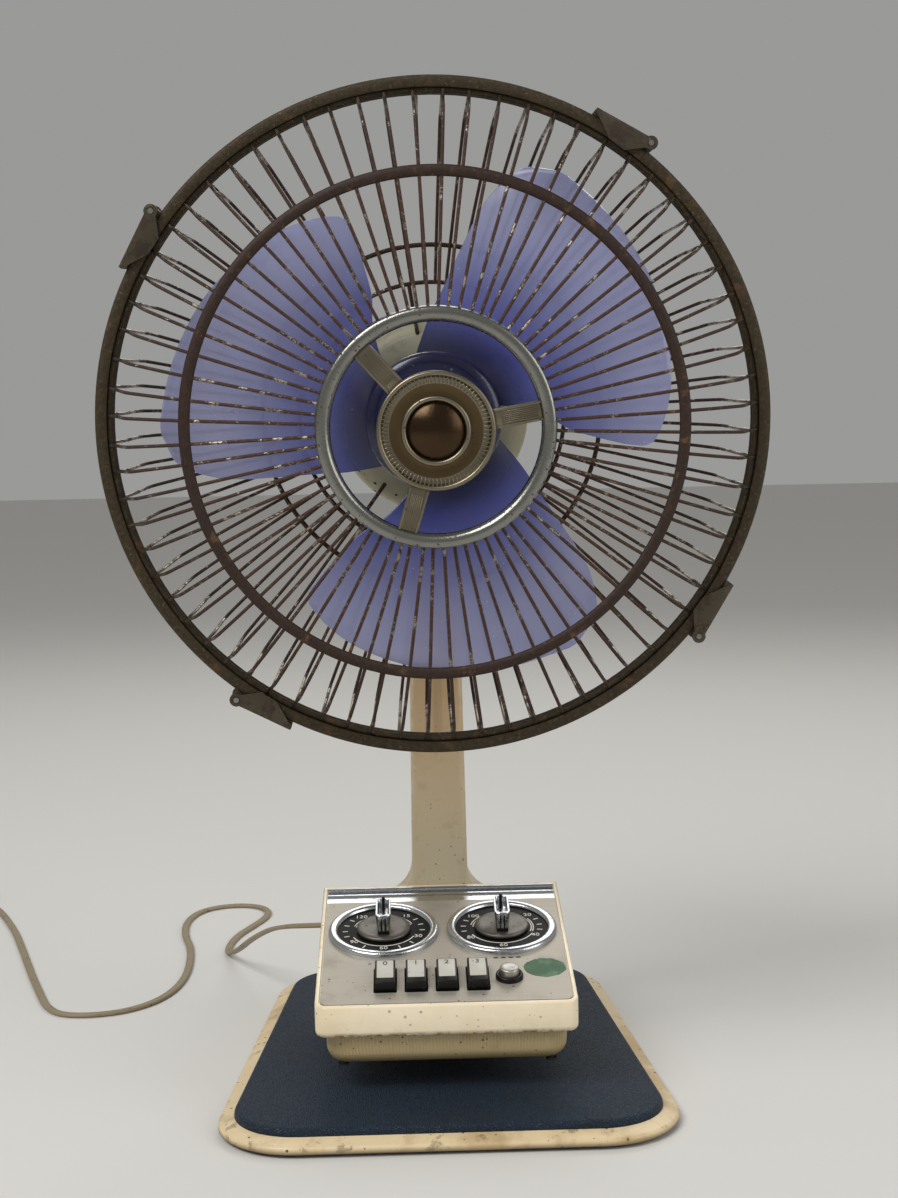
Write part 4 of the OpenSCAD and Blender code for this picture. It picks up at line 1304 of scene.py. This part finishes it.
# ---------- guards ----------
class FAN_OT_guards(bpy.types.Operator):
    """Build the rusted front and rear guards from bent wire and rings"""

    bl_idname = "desk_fan.guards"
    bl_label = "Guards"

    def ribs(self, bm, outline, count, thickness, stray, seed):
        """Wires round the axis, each a little out of its even place."""
        loose = random.Random(seed)
        path = flowing([Vector((r, 0, z)) for r, z in outline], 3)
        before = set(bm.verts)
        wire(bm, path, thickness)
        pattern = [v for v in bm.verts if v not in before]
        faces = list({f for v in pattern for f in v.link_faces})
        for i in range(count):
            angle = (i + 0.5) * 360 / count + math.degrees(loose.uniform(-stray, stray) / 0.1)
            turn = about(angle) @ move(0, loose.uniform(-stray, stray), 0)
            lean = Matrix.Rotation(loose.uniform(-stray, stray) / 0.35, 4, "Z")
            made = bmesh.ops.duplicate(bm, geom=faces)["geom"]
            bmesh.ops.transform(bm, matrix=turn @ lean, verts=only(made, bmesh.types.BMVert))
        bmesh.ops.delete(bm, geom=pattern, context="VERTS")

    def execute(self, context):
        sizes = context.scene.fan_sizes
        bm = bmesh.new()
        count = 72
        self.ribs(bm, FRONT_RIB, count, sizes.wire, sizes.wander, 11)
        hoop(bm, 0.0585, 0.0445, 0.0024)
        piece(bm, "front_guard_wires", "rusty_wire", "head", ("front_guard",), HEAD)
        bm = bmesh.new()
        middle, half, z = 0.1277, 0.003, 0.038
        turned(bm, [(middle - half, z)] + [(middle + half * math.cos(a), z + 0.0017 * math.sin(a))
               for a in [math.pi * (1 - k / 8) for k in range(1, 8)]] + [(middle + half, z)], 180)
        piece(bm, "guard_middle_ring", "ring_rust", "head", (), HEAD)
        bm = bmesh.new()
        self.ribs(bm, REAR_RIB, count, sizes.wire, sizes.wander, 12)
        plate, inner, rear = 0.044, 0.0745, -0.0625
        hoop(bm, 0.095, rear, 0.0026)
        hoop(bm, inner, rear, 0.0024)
        for k in range(8):
            with placed(bm, about(k * 45 + 9)):
                wire(bm, [Vector((plate, 0, rear)), Vector((inner, 0, rear))], 0.0022)
        with painted(bm, 1):
            turned(bm, [(0.0202, -0.0639), (0.046, -0.0639), (0.0466, -0.0632), (0.0466, -0.062),
                        (0.0458, -0.0614), (0.0202, -0.0614)], 72)
        piece(bm, "rear_guard_wires", ["rusty_wire", "motor_paint"], "head", ("rear_guard",),
              HEAD)
        bm = bmesh.new()
        for height in (0.0026, -0.0026):
            hoop(bm, 0.1708, height, 0.0042)
        piece(bm, "guard_end_rings", "rim_rust", "head", (), HEAD)
        return {"FINISHED"}


class FAN_OT_rim(bpy.types.Operator):
    """Build the gritty rim band and its four lever clips"""

    bl_idname = "desk_fan.rim"
    bl_label = "Rim and clips"

    def execute(self, context):
        bm = bmesh.new()
        half, outer, lip, thick, bend, nick = 0.007, 0.178, 0.1718, 0.0014, 0.0022, 0.0008
        inside, flat = outer - thick, half - thick
        skin = [(lip, -half + nick / 2), (lip + nick, -half)]
        skin += arc((outer - bend, -half + bend), bend, -90, -12, 4) + [(outer, -0.0026), (outer, 0.0026)]
        skin += arc((outer - bend, half - bend), bend, 12, 90, 4)
        skin += [(lip + nick, half), (lip, half - nick / 2), (lip, flat), (inside - nick, flat),
                 (inside, flat - nick), (inside, -flat + nick), (inside - nick, -flat), (lip, -flat)]
        turned(bm, skin, 192)
        for angle in CLIP_ANGLES:
            with placed(bm, about(angle)):
                block(bm, (0.1772, -0.0114, -0.0059), (0.1838, -0.0066, 0.0059), 0.0008)
        piece(bm, "rim_hoop", "rim_rust", "head", ("rim_band",), HEAD)
        for number in range(1, 5):
            node = f"guard_clip_{number}"
            bm = cad_copy(node, 0.0005, 2)
            piece(bm, f"clip_lever_{number}", "clip_steel", f"clip{number}", (node,))
        return {"FINISHED"}


class FAN_OT_badge(bpy.types.Operator):
    """Build the hub badge: a plated ring, three ribbed arms and the dished cap"""

    bl_idname = "desk_fan.badge"
    bl_label = "Hub badge"

    def execute(self, context):
        bm = bmesh.new()
        low, crest = 0.0468, 0.0524
        turned(bm, [(0.0534, low), (0.0532, 0.0492), (0.0545, 0.0512)]
               + [(0.0576 + 0.003 * math.cos(a), crest - 0.0014 + 0.0014 * math.sin(a))
                  for a in [math.radians(x) for x in range(165, 0, -20)]]
               + [(0.0612, 0.0496), (0.0614, low)], 144)
        piece(bm, "badge_ring", "badge_chrome", "head", ("hub_badge",), HEAD)
        sag = move(0, -0.0012, 0)

        bm = bmesh.new()
        for angle in ARM_ANGLES:
            with placed(bm, about(angle)):
                block(bm, (0.0262, -0.0052, 0.0482), (0.0552, 0.0052, 0.0496), 0.0005)
                for y in (-0.00425, 0.00425):
                    block(bm, (0.0305, y - 0.0006, 0.0494), (0.0545, y + 0.0006, 0.0504), 0.0003)
                for k in range(7):
                    y = (k - 3) * 0.00094
                    block(bm, (0.0335, y - 0.0003, 0.0494), (0.0525, y + 0.0003, 0.0504), 0.0001, 1)
        piece(bm, "badge_arms", "nickel", "head", (), HEAD @ sag)

        bm = bmesh.new()
        outer = 0.0302
        turned(bm, [(0, 0.047), (outer - 0.001, 0.047), (outer, 0.0478), (outer, 0.0512)]
               + arc((outer - 0.0013, 0.0516), 0.0013, 10, 170, 7)
               + [(0.0268, 0.0506), (0.0238, 0.0502), (0.0205, 0.0492), (0.0178, 0.0496)]
               + arc((0.0164, 0.0512), 0.0014, 20, 160, 7) + [(0.0148, 0.0506)]
               + arc((0, 0.0506 - 0.0212), 0.0256, 55, 90, 8), 120, closed=False)
        nickel, bronze, brown = range(3)
        for face in bm.faces:
            spot = face.calc_center_median()
            reach = spot.xy.length
            if spot.z < 0.0475 or reach > 0.0242 or 0.0149 < reach <= 0.0178:
                face.material_index = nickel
            else:
                face.material_index = bronze if reach > 0.0178 else brown
        ridges = 80
        for k in range(ridges):
            with placed(bm, about(k * 360 / ridges)):
                block(bm, (0.0241, -0.0004, 0.0498), (0.0283, 0.0004, 0.0519), 0.0002, 1)
        piece(bm, "badge_cap", ["nickel", "bronze", "dome_brown"], "head", (), HEAD @ sag)
        return {"FINISHED"}


# ---------- blades ----------
class FAN_OT_blades(bpy.types.Operator):
    """Build the hub and the three broad translucent blades"""

    bl_idname = "desk_fan.blades"
    bl_label = "Blades"

    # radius, then the angles of the leading and the trailing edge in degrees
    EDGES = [(0.030, 14, 112), (0.045, 8, 99), (0.061, 1, 90.5), (0.074, -5, 85.3), (0.092, -7.5, 81.2),
             (0.1085, -8.4, 78.5), (0.118, -7.5, 77), (0.123, -3, 76.2), (0.129, 6.7, 74.8),
             (0.134, 19.6, 73.6), (0.1385, 30, 72.4), (0.143, 41.8, 71), (0.147, 52, 68.8),
             (0.1497, 58.5, 64.5)]
    MIDDLE, PITCH, HEIGHT = 38, 14, -0.023

    def blade(self, bm, thickness, camber):
        """A cambered sheet between the two edges, given a thickness."""
        made = bmesh.ops.create_grid(bm, x_segments=28, y_segments=52, size=0.5)["verts"]
        edges = flowing(self.EDGES, 8)
        tilt = about(self.MIDDLE) @ Matrix.Rotation(-math.radians(self.PITCH), 4, "X")
        for vert in made:
            u, v = vert.co.x + 0.5, vert.co.y + 0.5
            radius, start, end = edges[round(v * (len(edges) - 1))]
            a = math.radians(start + (end - start) * u - self.MIDDLE)
            bulge = camber * (1 - (2 * u - 1) ** 2) * (0.35 + 0.65 * v)
            vert.co = tilt @ Vector((radius * math.cos(a), radius * math.sin(a), bulge - camber / 2))
        faces = list({f for v in made for f in v.link_faces})
        bmesh.ops.solidify(bm, geom=faces, thickness=thickness)

    def execute(self, context):
        sizes = context.scene.fan_sizes
        bm = bmesh.new()
        for number in range(3):
            with placed(bm, about(120 * number) @ move(0, 0, self.HEIGHT)):
                self.blade(bm, sizes.blade, sizes.camber)
        made = piece(bm, "blades", "blade_blue", "rotor", ("fan_blade",), HEAD, 50)
        edge = made.modifiers.new("edge", "BEVEL")
        edge.width, edge.segments = 0.0006, 2
        edge.limit_method, edge.angle_limit = "ANGLE", math.radians(50)

        bm = bmesh.new()
        turned(bm, [(0.0041, -0.048), (0.0101, -0.048), (0.0101, -0.018), (0.034, -0.0185), (0.034, -0.048),
                    (0.037, -0.048), (0.037, -0.022)] + arc((0.033, -0.019), 0.004, 0, 60, 5)
               + [(0.031, -0.0146), (0.024, -0.0138), (0.0235, -0.012), (0.0135, -0.0105), (0.0125, -0.0038),
                  (0.0115, -0.0026), (0.0041, -0.0026)], 96)
        piece(bm, "blade_hub", "hub_blue", "rotor", (), HEAD)
        return {"FINISHED"}


# ---------- motor and neck ----------
class FAN_OT_motor(bpy.types.Operator):
    """Build the motor housing with its vents, the gear case and the works at the neck"""

    bl_idname = "desk_fan.motor"
    bl_label = "Motor and neck"

    def execute(self, context):
        radius, joint, rear, steps = 0.055, -0.099, -0.150, 96
        lips = [[(radius, joint + side * 0.0012), (radius - 0.0008, joint + side * 0.0002),
                 (radius - 0.002, joint + side * 0.0002)] for side in (1, -1)]
        bend = (radius - 0.012, -0.0765)
        bm = bmesh.new()
        turned(bm, [(0.0061, -0.0556), (0.0185, -0.0556), (0.0199, -0.0564), (0.0199, -0.064),
                    (0.0215, -0.0655), (0.034, -0.0645)] + arc(bend, 0.012, 78, 0, 8)
               + lips[0] + arc(bend, 0.01, 0, 78, 6) + [(0.0061, -0.0668)], steps)
        piece(bm, "motor_front", "motor_paint", "head", ("motor_front_shell",), HEAD)

        bm = bmesh.new()
        turned(bm, [(0, rear), (0.030, rear)] + arc((radius - 0.016, rear + 0.016), 0.016, -90, 0, 8)
               + lips[1], steps, closed=False)
        bmesh.ops.remove_doubles(bm, verts=bm.verts, dist=1e-6)
        # two columns of faces in every four are vents
        vents = []
        for face in bm.faces:
            spot = face.calc_center_median()
            column = round(math.degrees(math.atan2(*spot.xy)) / (360 / steps) + 0.5)
            if len(face.verts) == 4 and abs(spot.z + 0.1416) < 0.0065 and column % 4 < 2:
                vents.append(face)
        bmesh.ops.inset_individual(bm, faces=vents, thickness=0.0005, depth=0)
        bmesh.ops.inset_individual(bm, faces=vents, thickness=0.0003, depth=-0.0016)
        for face in vents:
            face.material_index = 1
        with placed(bm, HEAD.inverted() @ move(*JOINTS["head_swing"]["pos_m"])
                    @ Matrix.Rotation(math.radians(4), 4, "X")):
            turned(bm, [(0.0052, 0.0146), (0.0105, 0.0146), (0.011, 0.0151), (0.011, 0.03), (0.0052, 0.03)],
                   48)
        piece(bm, "motor_rear", ["motor_paint", "dark_steel"], "head", ("motor_rear_shell",),
              HEAD)

        bm = cad_copy("gearbox_case", 0.002, 3)
        piece(bm, "gear_case", "motor_paint", "head", ("gearbox_case",))

        bm = bmesh.new()
        spot = frame_of(Vector((1, 0, 0)), Vector((0, *HEAD.col[2].yz)) * -1, Vector(HEAD.col[1].xyz),
                        Vector(JOINTS["crank_turn"]["pos_m"]))
        rise, grips = 0.072, 16
        outline = [(0, 0.008), (0.004, 0.008), (0.004, 0.0098), (0.0025, 0.0102), (0.0025, 0.0228),
                   (0.0062, 0.0228), (0.0074, 0.024), (0.0075, 0.0305), (0.0066, 0.0322), (0.005, 0.0329),
                   (0, 0.033)]
        turned(bm, [(r, rise + z) for r, z in outline], 40, closed=False)
        for k in range(grips):
            with placed(bm, about(k * 360 / grips)):
                block(bm, (0.0071, -0.0005, rise + 0.0245), (0.0077, 0.0005, rise + 0.0305), 0.0002, 1)
        piece(bm, "swing_knob", "ivory_knob", "plunger", ("oscillation_knob",), spot)

        for node, name, label, slot, body, width in (
                ("tilt_fork", "fork", "steel", "plain_steel", "stand", 0.0006),
                ("tilt_knob", "wing_knob", "cord_black", "cord_black", "wing_nut", 0.0008),
                ("neck_bracket", "bracket", "steel", "plain_steel", "neck", 0.0005)):
            piece(cad_copy(node, width, 2), name, label, body, (node,))
        return {"FINISHED"}


class FAN_OT_works(bpy.types.Operator):
    """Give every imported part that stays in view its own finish"""

    bl_idname = "desk_fan.works"
    bl_label = "Finish the works"

    WORKS = {
        "plate_steel": "base_plate base_weight column_bolts box_bolts",
        "foot_rubber": "rubber_feet",
        "steel": "column_tube tilt_bolt swivel_pin crank_link guard_nut clip_pins motor_rotor"
                 " shaft_bearings key_springs",
        "winding": "motor_stator",
        "brass": "timer_clockwork crank_wheel plug_pins",
        "works_board": "rhythm_switch",
        "dark_steel": "key_switch case_screws",
        "cord_black": "cord_tie",
    }

    def execute(self, context):
        for label, nodes in self.WORKS.items():
            for node in nodes.split():
                mesh = NODES[node].data
                mesh.materials.clear()
                mesh.materials.append(finish(label))
        return {"FINISHED"}


# ---------- add-on ----------
OPERATORS = [FAN_OT_stage, FAN_OT_lead, FAN_OT_base, FAN_OT_column, FAN_OT_box, FAN_OT_panel, FAN_OT_dials,
             FAN_OT_keys, FAN_OT_guards, FAN_OT_rim, FAN_OT_badge, FAN_OT_blades, FAN_OT_motor, FAN_OT_works]


class FAN_PT_parts(bpy.types.Panel):
    """Lists the fan's parts and settings in the sidebar"""

    bl_label = "Desk fan"
    bl_idname = "FAN_PT_parts"
    bl_space_type = "VIEW_3D"
    bl_region_type = "UI"
    bl_category = "Desk fan"

    def draw(self, context):
        for group in (context.scene.fan_sizes, context.scene.fan_colours, context.scene.fan_stage):
            for name in group.__annotations__:
                self.layout.prop(group, name)
        for operator in OPERATORS:
            self.layout.operator(operator.bl_idname)


GROUPS = {"fan_sizes": FanSizes, "fan_colours": FanColours, "fan_stage": FanStage}


def register():
    for cls in [*GROUPS.values(), *OPERATORS, FAN_PT_parts]:
        bpy.utils.register_class(cls)
    for name, group in GROUPS.items():
        setattr(bpy.types.Scene, name, PointerProperty(type=group))


def unregister():
    for name in GROUPS:
        delattr(bpy.types.Scene, name)
    for cls in [FAN_PT_parts, *OPERATORS, *GROUPS.values()]:
        bpy.utils.unregister_class(cls)


def main():
    register()
    for operator in OPERATORS:
        getattr(bpy.ops.desk_fan, operator.bl_idname.split(".")[1])()


if __name__ == "__main__":
    main()
